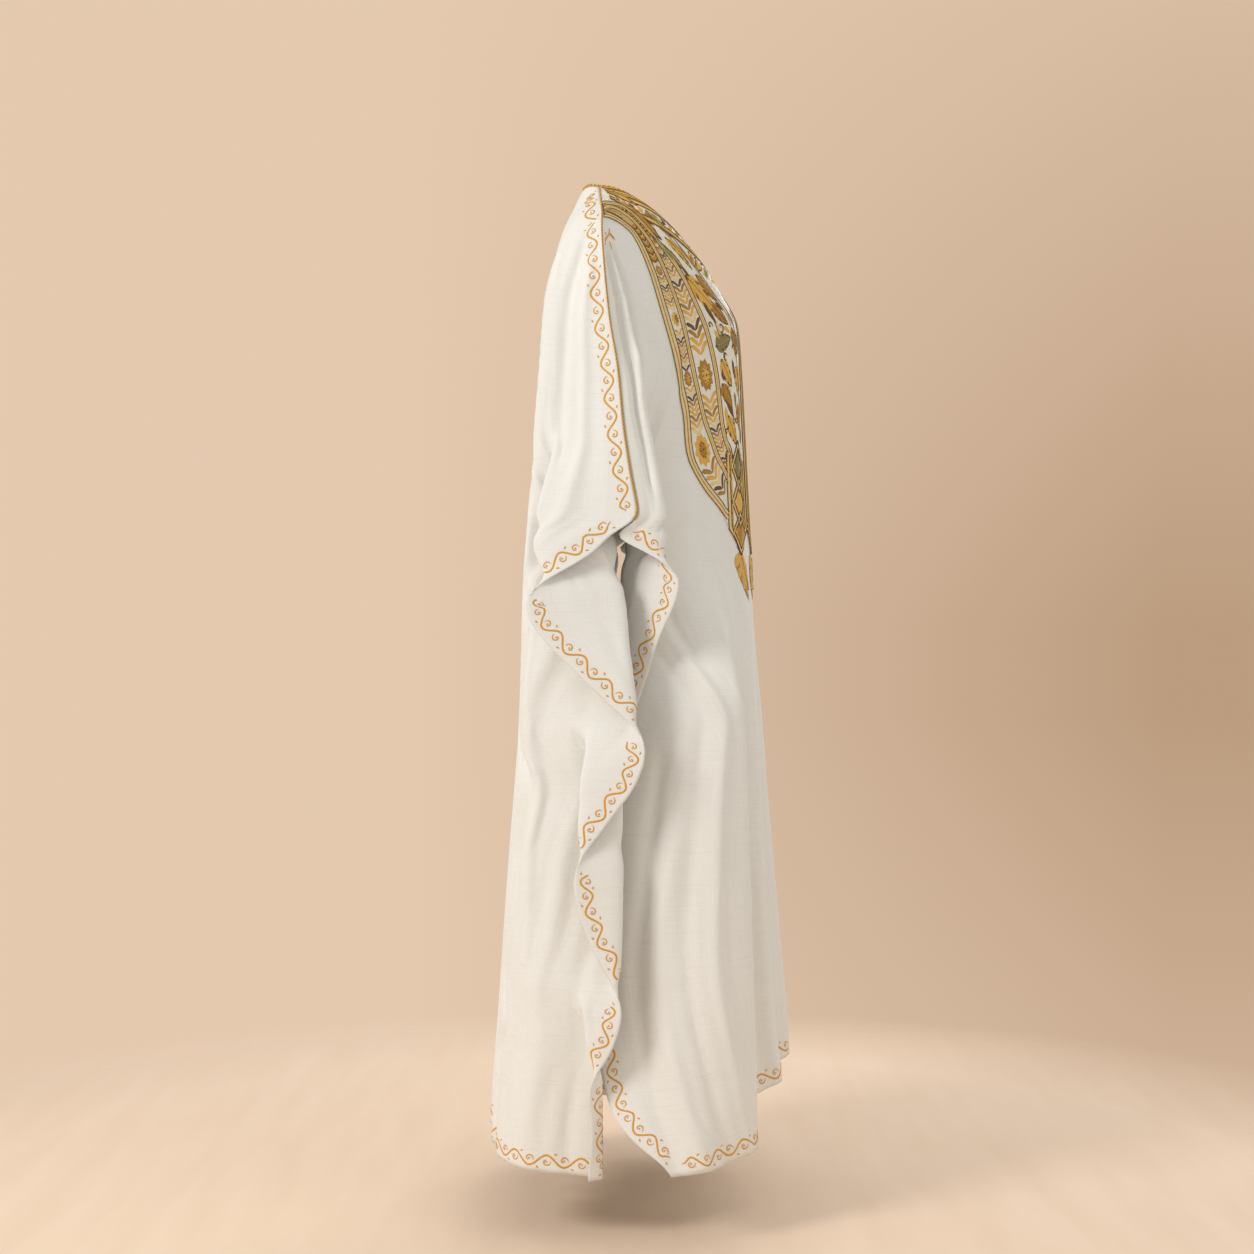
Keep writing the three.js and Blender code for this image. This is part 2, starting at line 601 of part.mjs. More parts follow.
// One point for each column of the panels' own cut edges: front right to left, then the back.
const frontNeckShares = frontShares(frontRows[0]).slice(0, NECK_COLUMNS.front + 1);
const backNeckShares = evenShares(HALF_COLUMNS).slice(0, NECK_COLUMNS.back);
const bindingLine = [
  ...[...frontNeckShares].reverse().map((share) => bindingPoint(front, share, -1)),
  ...frontNeckShares.slice(1).map((share) => bindingPoint(front, share, 1)),
  ...[...backNeckShares].reverse().map((share) => bindingPoint(back, share, 1)),
  ...backNeckShares.slice(1).map((share) => bindingPoint(back, share, -1)),
];
const bindingUp = bindingLine.map(() => new THREE.Vector3(0, 0, 1));
addPiece('neck_binding', cord(bindingLine, bindingUp, BINDING.radius, BINDING.sides, true), braid);

export default kaftan;
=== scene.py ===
# %% [markdown]
# # A long linen kaftan with an embroidered breast piece
# Two wide rectangles of slubby ivory linen are sewn together along the shoulders and down the
# sleeves. Below the wrist their sides hang open as wings, with a vine stitched along every edge.
# The kaftan keeps the shape of a standing wearer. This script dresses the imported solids: each soft
# solid is replaced by thin cloth with creases, and the sewing and embroidery are laid on it.

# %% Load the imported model
import math

import bmesh
import bpy
import numpy as np
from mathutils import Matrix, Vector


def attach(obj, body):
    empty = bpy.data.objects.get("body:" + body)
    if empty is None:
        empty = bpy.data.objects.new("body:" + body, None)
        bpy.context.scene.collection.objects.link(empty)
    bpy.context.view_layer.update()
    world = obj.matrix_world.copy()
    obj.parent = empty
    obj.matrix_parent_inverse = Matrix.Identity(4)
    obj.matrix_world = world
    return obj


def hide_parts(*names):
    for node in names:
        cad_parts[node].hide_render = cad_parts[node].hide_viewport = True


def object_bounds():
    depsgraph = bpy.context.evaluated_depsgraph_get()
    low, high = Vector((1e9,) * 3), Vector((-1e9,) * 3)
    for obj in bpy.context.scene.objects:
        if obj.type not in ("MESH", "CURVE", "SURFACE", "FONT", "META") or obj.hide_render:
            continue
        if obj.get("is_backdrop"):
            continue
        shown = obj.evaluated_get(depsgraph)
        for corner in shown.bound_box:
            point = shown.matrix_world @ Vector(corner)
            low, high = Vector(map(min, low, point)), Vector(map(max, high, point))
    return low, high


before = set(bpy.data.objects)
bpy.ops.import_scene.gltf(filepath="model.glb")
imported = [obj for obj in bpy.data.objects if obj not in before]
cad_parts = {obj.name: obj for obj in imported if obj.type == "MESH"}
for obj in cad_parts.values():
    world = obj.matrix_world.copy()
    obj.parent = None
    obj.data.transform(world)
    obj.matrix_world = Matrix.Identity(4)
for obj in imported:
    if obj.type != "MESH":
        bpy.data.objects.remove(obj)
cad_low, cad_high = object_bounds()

print("solids:", ", ".join(sorted(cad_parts)))
print("solid box in metres:", [round(v, 3) for v in (*cad_low, *cad_high)])

# %% [markdown]
# ## The surface of a panel
# Cloth that hangs is easiest to describe level by level. At each height one smooth line runs from
# the middle of the panel, round the body and through the hanging folds, to the open edge. The
# tables below are in millimetres: drop below the neck points, distance out from the middle, and y
# towards the back. They are the same tables as the solids', so that cloth and solid agree.

# %% Tables of the two panels
MM = 0.001  # the tables are in millimetres, Blender in metres
NECK = (85, 41)  # out, y of the neck point
SHOULDER = (195, 35, 60)  # out, y, drop of the shoulder's corner
WRIST_DROP = 501
YOKE_DROP = 185
RISE_FROM = 900
WAVE_TURNS = 22 / 4
EDGE_SET_BACK = 0.5  # each panel's edge from the line of the seam

SEAM_LINE = [(60, 195, 35), (80, 213, 35), (131, 236, 32), (213, 250, 24), (287, 258, 12),
             (362, 264, 5), (430, 269, -5), (WRIST_DROP, 274, -17)]
BACK_EDGE = [(509, 275, 6), (518, 276, 22), (540, 277, 40), (563, 278, 76), (596, 280, 130),
             (615, 281, 142), (642, 281, 133), (708, 282, 74), (768, 285, 11), (800, 288, -21),
             (822, 288, -26), (863, 288, -14), (916, 288, 24), (1000, 290, 74), (1069, 291, 58),
             (1150, 293, 17), (1180, 294, 7), (1229, 292, 19), (1294, 290, 54), (1347, 288, 49),
             (1414, 284, 54)]
FRONT_EDGE = [(519, 268, 25), (536, 269, -11), (559, 269, -51), (580, 268, -74), (604, 262, -71),
              (666, 240, -45), (749, 222, -18), (840, 212, 20), (950, 208, 45), (1100, 212, 55),
              (1200, 228, 48), (1271, 254, 36), (1325, 279, 19), (1362, 294, -14), (1404, 302, -62)]

# drop, y of the middle, then out and y of the panel's flat and of its corner at the side
BACK_BODY = [(0, 72, 80, 72, 150, 66), (60, 98, 90, 99, 175, 92), (120, 108, 98, 111, 196, 108),
             (200, 113, 104, 118, 212, 116), (330, 121, 110, 126, 220, 128),
             (480, 133, 112, 138, 222, 142), (610, 147, 115, 150, 224, 150),
             (800, 161, 120, 161, 228, 150), (1000, 178, 125, 177, 236, 154),
             (1200, 192, 130, 190, 246, 162), (1414, 206, 135, 202, 256, 172)]
FRONT_BODY = [(60, -62, 50, -62, 140, -34), (104, -104, 50, -101, 150, -46),
              (148, -139, 50, -133, 157, -58), (194, -166, 50, -160, 162, -68),
              (268, -172, 48, -166, 165, -74), (380, -178, 46, -171, 166, -78),
              (533, -186, 46, -178, 170, -88), (622, -190, 64, -186, 190, -100),
              (784, -204, 88, -210, 240, -100), (934, -216, 84, -226, 256, -92),
              (1071, -228, 82, -238, 264, -92), (1290, -246, 80, -254, 280, -104),
              (1404, -250, 80, -258, 292, -112)]

# one row is the tip of a hanging fold: from, full, to, out, y, last out, last y, width, rest
NEVER = 5000
BACK_FOLDS = [(1120, 1230, NEVER, 274, 34, 270, 34, 9, 0.5),
              (1120, 1230, 1294, 284, 60, 290, 54, 8, 0.6),
              (740, 890, 1180, 258, 4, 294, 7, 14, 0.5),
              (740, 890, 1000, 278, 70, 290, 74, 12, 0.6),
              (330, 545, 822, 247, 11, 288, -26, 14, 0.2),
              (330, 545, 615, 266, 136, 281, 142, 13, 0.3)]
FRONT_MIDDLE_FOLDS = [(560, 800, NEVER, 140, -112, 142, -118, 26, 0.45),
                      (560, 800, NEVER, 208, -170, 216, -188, 9, 0.7)]
FRONT_SIDE_FOLDS = [(230, 430, 830, 190, 2, 212, 20, 16, 0.4),
                    (230, 330, 594, 249, -26, 266, -75, 12, 0.7)]

BACK = {"name": "back", "turn": 1, "edge": SEAM_LINE + BACK_EDGE, "body": BACK_BODY,
        "middle": [], "side": BACK_FOLDS, "waves": (200, 1000, 48, 0.34, 0.16),
        "neck_share": 9 / 22, "neck_depth": (25, -7), "hem": 1414, "hem_rise": 46}
FRONT = {"name": "front", "turn": -1, "edge": SEAM_LINE + FRONT_EDGE, "body": FRONT_BODY,
         "middle": FRONT_MIDDLE_FOLDS, "side": FRONT_SIDE_FOLDS, "waves": (640, 1050, 34, 0.16, 0.1),
         "neck_share": 0.936 * 5 / 9, "neck_depth": (-124, 92), "hem": 1404, "hem_rise": 114}


# %% Smooth steps and table look-ups
def ease(start, end, x):
    """0 before start, 1 after end, and a smooth step between them."""
    t = np.clip((np.asarray(x, float) - start) / (end - start), 0, 1)
    return t * t * (3 - 2 * t)


def look_up(rows, column, drop):
    """A column of a table at any drop: a smooth line through the rows that never overshoots."""
    rows = np.array(rows, float)
    x, y = rows[:, 0], rows[:, column]
    slopes = np.diff(y) / np.diff(x)
    product = slopes[:-1] * slopes[1:]
    total = slopes[:-1] + slopes[1:]
    bend = np.zeros_like(y)
    bend[1:-1] = np.where(product > 0, 2 * product / np.where(total == 0, 1, total), 0)
    at = np.clip(drop, x[0], x[-1])
    i = np.clip(np.searchsorted(x, at, side="right") - 1, 0, len(x) - 2)
    step = x[i + 1] - x[i]
    t = (at - x[i]) / step
    level = y[i] * (1 + 2 * t) * (1 - t) ** 2 + y[i + 1] * t * t * (3 - 2 * t)
    return level + bend[i] * step * t * (1 - t) ** 2 - bend[i + 1] * step * t * t * (1 - t)


def mix(a, b, t):
    return a + (b - a) * t


print("back edge at drop 700:", round(float(look_up(BACK["edge"], 2, 700)), 1), "mm")


# %% [markdown]
# ## Level lines with folds
# A fold is two close points pushed out from the line. Between its points the line is a rounded
# curve, halfway points joined by parabolas, which is how soft cloth turns. The line is then
# measured along its length, and a share of that length always means the same thread of the cloth.

# %% The level line at every height
def fold_tip(fold, anchor, beyond, edge, drop):
    start, full, end, out, y, last_out, last_y, width, rest = fold
    grown = ease(start, full, drop)
    along = np.clip((drop - full) / (min(end, 1414) - full), 0, 1)
    merged = ease(end - 60, end, drop)
    tip = []
    for k, (first, last) in enumerate(((out, last_out), (y, last_y))):
        resting = mix(anchor[k], beyond[k], rest)
        hanging = mix(first, last, along)
        tip.append(mix(mix(resting, hanging, grown), edge[k], merged))
    half = width / 2 * grown * (1 - merged)
    return [(tip[0] - half, tip[1]), (tip[0] + half, tip[1])]


def fold_chain(folds, anchor, beyond, edge, drop):
    chain = []
    for fold in reversed(folds):
        tips = fold_tip(fold, anchor, beyond, edge, drop)
        beyond = tips[0]
        chain = tips + chain
    return chain


def level_lines(panel, drop, steps=8):
    """The line at each drop as points (out, y), and how far along it each point is."""
    edge = (look_up(panel["edge"], 1, drop), look_up(panel["edge"], 2, drop))
    raised = drop - panel["hem_rise"] * ease(RISE_FROM, panel["hem"], drop)
    middle = (np.zeros_like(drop), look_up(panel["body"], 1, raised))
    flat = (look_up(panel["body"], 2, drop), look_up(panel["body"], 3, drop))
    side = (look_up(panel["body"], 4, drop), look_up(panel["body"], 5, drop))
    corners = [middle, flat, *fold_chain(panel["middle"], flat, side, side, drop), side,
               *fold_chain(panel["side"], side, edge, edge, drop), edge]
    corners = np.array(corners).transpose(2, 0, 1)
    halfway = (corners[:, :-1] + corners[:, 1:]) / 2
    halfway[:, 0], halfway[:, -1] = corners[:, 0], corners[:, -1]
    line = [corners[:, 0]]
    for i in range(1, corners.shape[1] - 1):
        for k in range(1, steps + 1):
            t = k / steps
            line.append(halfway[:, i - 1] * (1 - t) ** 2 + 2 * corners[:, i] * t * (1 - t)
                        + halfway[:, i] * t * t)
    line = np.stack(line, 1)
    lengths = np.linalg.norm(np.diff(line, axis=1), axis=2)
    along = np.concatenate([np.zeros((len(line), 1)), np.cumsum(lengths, 1)], 1)
    return line, along


def level_points(panel, shares, drop):
    """Rows of points (out, y, drop) at the given shares of each level line."""
    line, along = level_lines(panel, drop)
    points = np.zeros((len(drop), len(shares), 3))
    across = np.zeros((len(drop), len(shares), 2))
    for row in range(len(drop)):
        at = shares * along[row, -1]
        for k in (0, 1):
            points[row, :, k] = np.interp(at, along[row], line[row, :, k])
        i = np.clip(np.searchsorted(along[row], at, side="right"), 1, line.shape[1] - 1)
        step = np.maximum(along[row][i] - along[row][i - 1], 1e-9)
        across[row] = (line[row][i] - line[row][i - 1]) / step[:, None]
    start, full, depth, reach, fade = panel["waves"]
    press = depth * ease(start, full, drop)[:, None] * (1 - ease(reach, reach + fade, shares))
    press = press * (1 - np.cos(2 * np.pi * shares * WAVE_TURNS)) / 2
    points[:, :, 0] += panel["turn"] * across[:, :, 1] * press
    points[:, :, 1] -= panel["turn"] * across[:, :, 0] * press
    sag = panel["hem_rise"] * (1 - shares) ** 1.5
    points[:, :, 2] = drop[:, None] - sag * ease(RISE_FROM, panel["hem"], drop)[:, None]
    return points


# %% [markdown]
# ## The yoke
# Above the armhole level the cloth bends over the shoulders. The yoke joins the top line, which
# follows the neck opening and then the shoulder seam, to the first level line below it.

# %% The yoke's points, and one half of a panel
YOKE_ROUND = 0.6


def top_line(panel, shares):
    h = np.clip(shares / panel["neck_share"], 0, 1) * np.pi / 2
    y_depth, drop_depth = panel["neck_depth"]
    power = 2 if panel["turn"] < 0 else 1
    g = np.clip((shares - panel["neck_share"]) / (1 - panel["neck_share"]), 0, 1)
    out = NECK[0] * np.sin(h) + (SHOULDER[0] - NECK[0]) * g
    y = NECK[1] + y_depth * np.cos(h) + (SHOULDER[1] - NECK[1]) * g
    drop = drop_depth * np.cos(h) ** power + SHOULDER[2] * (0.75 * g + 0.25 * g * g)
    return np.stack([out, y, drop], 1)


def yoke_points(panel, shares, low, down):
    top = top_line(panel, shares)
    outward = mix(down, math.sin(down * math.pi / 2), YOKE_ROUND)
    downward = mix(down, 1 - math.cos(down * math.pi / 2), YOKE_ROUND)
    points = np.stack([mix(top[:, 0], low[:, 0], outward), mix(top[:, 1], low[:, 1], outward),
                       mix(top[:, 2], low[:, 2], downward)], 1)
    seam_drop = mix(top[-1, 2], low[-1, 2], downward)
    for k in (0, 1):
        seam = look_up(panel["edge"], k + 1, seam_drop)
        points[:, k] += shares ** 3 * (seam - mix(top[-1, k], low[-1, k], outward))
    middle_drop = mix(top[0, 2], low[0, 2], downward)
    middle = look_up(panel["body"], 1, middle_drop)
    hold = (1 - shares) ** 3 * ease(0, 0.3, down)
    points[:, 1] += hold * (middle - mix(top[0, 1], low[0, 1], outward))
    return points


def half_panel(panel, shares, downs, drops):
    """The plain surface of one half: rows x shares x (out, y, drop)."""
    level = level_points(panel, shares, drops)
    yoke = [yoke_points(panel, shares, level[0], down) for down in downs]
    points = np.concatenate([np.stack(yoke), level])
    seamed = np.concatenate([np.ones(len(downs)), 1 - ease(WRIST_DROP, WRIST_DROP + 12, drops)])
    points[:, :, 1] += panel["turn"] * EDGE_SET_BACK * seamed[:, None] * shares ** 8
    return points


# %% [markdown]
# ## Creases
# Linen holds its creases. The main ones are listed one by one, each as a soft ridge or trough that
# follows a short path of (drop, share) points and fades out at both ends. Many faint ones, drawn
# from a fixed seed, keep the rest from looking ironed. The two sides differ a little, as they
# would on a real garment. Simulation would also make folds, but not these ones in these places.

# %% The main creases: height, width, soft end, then (drop, share) points
CUT_HALF = 600  # half the width that each panel was cut to
FRONT_CREASES = [
    (-12, 11, 60, [(70, 0.985), (205, 0.93), (332, 0.935), (431, 0.925), (500, 0.92)]),
    (8, 10, 60, [(90, 0.95), (230, 0.90), (360, 0.90), (480, 0.885)]),
    (-9, 10, 50, [(80, 0.93), (203, 0.87), (305, 0.86), (400, 0.84)]),
    (5, 12, 60, [(250, 0.76), (356, 0.72), (491, 0.66), (640, 0.66)]),
    (-5, 14, 80, [(300, 0.68), (420, 0.63), (560, 0.60), (760, 0.585)]),
    (4, 16, 120, [(520, 0.30), (760, 0.36), (1000, 0.40), (1500, 0.42)]),
    (-5, 18, 120, [(560, 0.22), (800, 0.25), (1100, 0.27), (1500, 0.28)]),
    (-6, 15, 120, [(700, 0.70), (900, 0.74), (1180, 0.76), (1500, 0.77)]),
    (5, 12, 100, [(640, 0.62), (860, 0.66), (1100, 0.68), (1500, 0.69)]),
    (-6, 14, 90, [(780, 0.83), (980, 0.86), (1200, 0.90), (1500, 0.93)]),
    (4, 14, 90, [(900, 0.79), (1100, 0.82), (1300, 0.84), (1500, 0.85)]),
    (4, 20, 90, [(900, 0.08), (1150, 0.07), (1500, 0.06)]),
    (-4, 16, 80, [(540, 0.06), (800, 0.09), (1080, 0.10), (1500, 0.09)]),
]
BACK_CREASES = [
    (-6, 16, 70, [(60, 0.86), (188, 0.80), (329, 0.74), (473, 0.72), (640, 0.66)]),
    (5, 14, 70, [(90, 0.93), (260, 0.86), (420, 0.83), (540, 0.82)]),
    (-5, 15, 80, [(60, 0.62), (200, 0.58), (400, 0.52), (640, 0.50), (900, 0.46)]),
    (5, 18, 80, [(80, 0.70), (240, 0.66), (480, 0.60), (760, 0.57)]),
    (-4, 20, 90, [(40, 0.30), (240, 0.30), (520, 0.28), (820, 0.26)]),
    (4, 22, 90, [(60, 0.12), (300, 0.14), (640, 0.15), (1000, 0.14)]),
    (-4, 18, 160, [(640, 0.60), (860, 0.62), (1050, 0.64), (1500, 0.66)]),
    (4, 17, 160, [(700, 0.70), (900, 0.71), (1100, 0.73), (1500, 0.75)]),
    (-4, 16, 140, [(860, 0.80), (1040, 0.82), (1240, 0.84), (1500, 0.86)]),
    (5, 16, 90, [(900, 0.44), (1100, 0.46), (1500, 0.48)]),
]
SIDE_SHIFT = 0.012  # the left half's creases lie this share further in
FAINT_CREASES = 46


EVEN_ROWS = 41  # rows over which the cloth's half width is evened, so that creases hang straight


def straight_places(plain):
    """Distances from the middle, in the flat cut, that don't swing where the edge folds."""
    steps = np.linalg.norm(np.diff(plain, axis=1), axis=2)
    lengths = np.concatenate([np.zeros((len(plain), 1)), np.cumsum(steps, axis=1)], axis=1)
    half = lengths[:, -1]
    for _ in range(2):
        wide = np.pad(half, EVEN_ROWS // 2, mode="edge")
        half = np.convolve(wide, np.ones(EVEN_ROWS) / EVEN_ROWS, mode="valid")
    return lengths / half[:, None] * CUT_HALF


def crease_relief(creases, across, drops, seed, shift):
    """How far the cloth stands out (+) or in (-) at each place, in millimetres."""
    relief = np.zeros(across.shape)
    rng = np.random.default_rng(seed)
    faint = []
    for _ in range(FAINT_CREASES):
        start = rng.uniform(40, 1250)
        length = rng.uniform(120, 520)
        share = rng.uniform(0.03, 0.97)
        drift = rng.uniform(-0.05, 0.05)
        height = rng.uniform(0.8, 2.2) * rng.choice([-1, 1])
        path = [(start, share), (start + length / 2, share + drift * 0.4), (start + length, share + drift)]
        faint.append((height, rng.uniform(7, 18), length * 0.4, path))
    for height, width, soft, path in creases + faint:
        path = np.array(path, float)
        centre = (look_up(path, 1, drops) - shift) * CUT_HALF
        first, last = path[0, 0], path[-1, 0]
        strength = ease(first, first + soft, drops) * (1 - ease(last - soft, last, drops))
        offset = across - centre[:, None]
        relief += height * strength[:, None] * np.exp(-((offset / width) ** 2))
    return relief


# %% [markdown]
# ## The whole panel
# One table of points holds the whole panel, from the wearer's right to the left. Everything that
# is sewn on later is looked up in the same table, so it lies on the cloth wherever the cloth goes.

# %% The two cloth surfaces
HALF_CELLS = 112
YOKE_CELLS = 26
LEVEL_CELLS = 172


def evened(points, passes=3):
    """Takes the small steps out of a table of points, row by row, and keeps its outer rim."""
    for _ in range(passes):
        points[1:-1] = (points[:-2] + 2 * points[1:-1] + points[2:]) / 4
    points[:, 1:-1] = (points[:, :-2] + 6 * points[:, 1:-1] + points[:, 2:]) / 8
    return points


def outward_normals(points, turn):
    across = np.gradient(points, axis=1)
    down = np.gradient(points, axis=0)
    normals = turn * np.cross(across, down)
    return normals / np.maximum(np.linalg.norm(normals, axis=2, keepdims=True), 1e-12)


def cloth_surface(panel, creases, seed):
    """The creased surface in metres, with its outward normals and its places in the flat cut."""
    shares = np.linspace(0, 1, HALF_CELLS + 1)
    downs = np.linspace(0, 1, YOKE_CELLS + 1)[:-1]
    drops = np.linspace(YOKE_DROP, panel["hem"], LEVEL_CELLS + 1)
    flat_drops = np.concatenate([downs * YOKE_DROP, drops])
    plain = half_panel(panel, shares, downs, drops)
    below_sleeves = ease(500, 680, flat_drops)[:, None]
    places = mix(shares[None, :] * CUT_HALF, straight_places(plain), below_sleeves)
    seam_hold = 1 - ease(0.955, 1, shares)[None, :] * (1 - ease(480, 560, flat_drops))[:, None]
    top_hold = ease(0, 60, flat_drops)[:, None]
    halves, reliefs = [], []
    for side, shift in ((-1, 0), (1, SIDE_SHIFT)):
        half = plain * (side, 1, -1)
        relief = crease_relief(creases, places, flat_drops, seed + side, shift)
        halves.append(half)
        reliefs.append(relief * seam_hold * top_hold)
    join = lambda right, left: np.concatenate([right[:, ::-1], left[:, 1:]], axis=1)
    middle = (reliefs[0][:, :1] + reliefs[1][:, :1]) / 2
    blend = 1 - ease(0, 0.08, shares)[None, :]
    reliefs = [mix(relief, middle, blend) for relief in reliefs]
    points = evened(join(halves[0], halves[1])) * MM
    relief = join(reliefs[0], reliefs[1]) * MM
    normals = outward_normals(points, panel["turn"])
    # no crease where the cloth already turns sharply, or it would fold through itself
    turned = np.linalg.norm(normals[:, 6:] - normals[:, :-6], axis=2)
    relief = relief * (1 - ease(0.35, 0.9, np.pad(turned, ((0, 0), (3, 3)), mode="edge")))
    points = points + normals * relief[:, :, None]
    return {"points": points, "normals": outward_normals(points, panel["turn"]),
            "flat_drops": flat_drops, "turn": panel["turn"], "name": panel["name"]}


back_cloth = cloth_surface(BACK, BACK_CREASES, 11)
front_cloth = cloth_surface(FRONT, FRONT_CREASES, 23)
for cloth in (back_cloth, front_cloth):
    low, high = cloth["points"].min((0, 1)), cloth["points"].max((0, 1))
    print(cloth["name"], "cloth box:", low.round(3), high.round(3))


# %% [markdown]
# ## Thin shells of cloth
# A flat grid is moved onto the surface and given a wall. Its UV map keeps the flat cut in metres,
# so the weave runs straight along the threads and bends with the cloth, as real weave does.

# %% Make the two panels
CLOTH_WALL = 0.0012


def new_piece(name, bm):
    mesh = bpy.data.meshes.new(name)
    bm.to_mesh(mesh)
    bm.free()
    piece = bpy.data.objects.new(name, mesh)
    bpy.context.collection.objects.link(piece)
    return piece


def give_wall(piece, thickness):
    """A plain wall towards the body; an even one would grow spikes at the tight folds."""
    wall = piece.modifiers.new("wall", "SOLIDIFY")
    wall.thickness = thickness
    wall.offset = -1
    wall.use_even_offset = False
    wall.use_rim = True
    piece.data.shade_smooth()


def cloth_shell(name, cloth, wall):
    rows, columns = cloth["points"].shape[:2]
    bm = bmesh.new()
    bm.loops.layers.uv.new("cut")
    bmesh.ops.create_grid(bm, x_segments=columns - 1, y_segments=rows - 1, size=1, calc_uvs=True)
    uv = bm.loops.layers.uv.active
    for vert in bm.verts:
        column = round((vert.co.x + 1) / 2 * (columns - 1))
        row = round((1 - vert.co.y) / 2 * (rows - 1))
        for loop in vert.link_loops:
            loop[uv].uv = (column / (columns - 1) * 2 * CUT_HALF * MM, cloth["flat_drops"][row] * MM)
        vert.co = cloth["points"][row, column]
    if cloth["turn"] > 0:
        bmesh.ops.reverse_faces(bm, faces=bm.faces)
    piece = new_piece(name, bm)
    give_wall(piece, wall)
    print(name, len(piece.data.polygons), "faces")
    return piece


back_piece = cloth_shell("back_cloth", back_cloth, CLOTH_WALL)
front_piece = cloth_shell("front_cloth", front_cloth, CLOTH_WALL)

# %% [markdown]
# ## Linen
# Linen shows uneven threads both ways, with slubs, which are thicker stretches of thread. Noise
# that is stretched along one direction of the cut gives threads, and stronger, longer noise gives
# slubs. Where the thread noise is low, in the hollows of the weave's bump, the colour is darker:
# that is painted shade. The cloudy tone and the darker slubs are the linen's own colour. The pattern
# is a node group, so that any piece of the same cloth can use it.

# %% A node group for slubby linen
def socket(group, name, kind, direction, value=None):
    made = group.interface.new_socket(name=name, in_out=direction, socket_type=kind)
    if value is not None:
        made.default_value = value
    return made


def link(tree, source, target):
    tree.links.new(source, target)


def maths(tree, operation, first, second):
    """A Math node whose inputs are sockets or numbers."""
    node = tree.nodes.new("ShaderNodeMath")
    node.operation = operation
    for place, value in enumerate((first, second)):
        if isinstance(value, (int, float)):
            node.inputs[place].default_value = value
        else:
            link(tree, value, node.inputs[place])
    return node.outputs[0]


def noise(tree, vector, scale, detail=2.0, roughness=0.5):
    node = tree.nodes.new("ShaderNodeTexNoise")
    node.inputs["Scale"].default_value = scale
    node.inputs["Detail"].default_value = detail
    node.inputs["Roughness"].default_value = roughness
    link(tree, vector, node.inputs["Vector"])
    return node.outputs["Fac"]


def stretched(tree, vector, scale):
    node = tree.nodes.new("ShaderNodeMapping")
    node.inputs["Scale"].default_value = scale
    link(tree, vector, node.inputs["Vector"])
    return node.outputs["Vector"]


def ramp(tree, value, low, high):
    """Maps low..high to 0..1, clamped."""
    node = tree.nodes.new("ShaderNodeMapRange")
    node.inputs["From Min"].default_value = low
    node.inputs["From Max"].default_value = high
    link(tree, value, node.inputs["Value"])
    return node.outputs["Result"]


def blend_colours(tree, factor, first, second, way="MIX"):
    node = tree.nodes.new("ShaderNodeMix")
    node.data_type = "RGBA"
    node.blend_type = way
    for name, value in ((0, factor), (6, first), (7, second)):
        if isinstance(value, (float, int, tuple)):
            node.inputs[name].default_value = value
        else:
            link(tree, value, node.inputs[name])
    return node.outputs[2]


def linen_group():
    tree = bpy.data.node_groups.new("slubby linen", "ShaderNodeTree")
    socket(tree, "Cut place", "NodeSocketVector", "INPUT")
    socket(tree, "Cloth", "NodeSocketColor", "INPUT", (0.87, 0.855, 0.81, 1))
    # the darker colour, used both for painted shade in the weave's hollows and for the linen's own tone
    socket(tree, "Thread shade", "NodeSocketColor", "INPUT", (0.72, 0.69, 0.62, 1))
    socket(tree, "Colour", "NodeSocketColor", "OUTPUT")
    socket(tree, "Roughness", "NodeSocketFloat", "OUTPUT")
    socket(tree, "Height", "NodeSocketFloat", "OUTPUT")
    given = tree.nodes.new("NodeGroupInput")
    result = tree.nodes.new("NodeGroupOutput")
    place = given.outputs["Cut place"]
    warp = noise(tree, stretched(tree, place, (1100, 22, 1)), 1.0, 2.0)
    weft = noise(tree, stretched(tree, place, (26, 1000, 1)), 1.0, 2.0)
    warp_slubs = ramp(tree, noise(tree, stretched(tree, place, (420, 7, 1)), 1.0, 1.0), 0.60, 0.74)
    weft_slubs = ramp(tree, noise(tree, stretched(tree, place, (9, 380, 1)), 1.0, 1.0), 0.60, 0.74)
    threads = maths(tree, "ADD", warp, weft)
    slubs = maths(tree, "MAXIMUM", warp_slubs, weft_slubs)
    cloudy = noise(tree, place, 9.0, 3.0)
    # painted shade where the thread noise is low, in the weave's hollows; the cloudy tone and the slubs added
    # next are the linen's own colour
    shade = maths(tree, "MULTIPLY", ramp(tree, threads, 1.15, 0.85), 0.22)
    shade = maths(tree, "ADD", shade, maths(tree, "MULTIPLY", ramp(tree, cloudy, 0.35, 0.7), 0.10))
    shade = maths(tree, "ADD", shade, maths(tree, "MULTIPLY", slubs, 0.16))
    colour = blend_colours(tree, shade, given.outputs["Cloth"], given.outputs["Thread shade"])
    link(tree, colour, result.inputs["Colour"])
    link(tree, maths(tree, "ADD", maths(tree, "MULTIPLY", threads, 0.12), 0.76), result.inputs["Roughness"])
    height = maths(tree, "ADD", threads, maths(tree, "MULTIPLY", slubs, 0.9))
    link(tree, height, result.inputs["Height"])
    return tree


LINEN = linen_group()


# %% The cloth's material
def new_material(name):
    material = bpy.data.materials.new(name)
    material.use_nodes = True
    shader = material.node_tree.nodes["Principled BSDF"]
    return material, material.node_tree, shader


def uv_place(tree, name):
    node = tree.nodes.new("ShaderNodeUVMap")
    node.uv_map = name
    return node.outputs["UV"]


def bump(tree, shader, height, strength, distance):
    node = tree.nodes.new("ShaderNodeBump")
    node.inputs["Strength"].default_value = strength
    node.inputs["Distance"].default_value = distance
    link(tree, height, node.inputs["Height"])
    link(tree, node.outputs["Normal"], shader.inputs["Normal"])


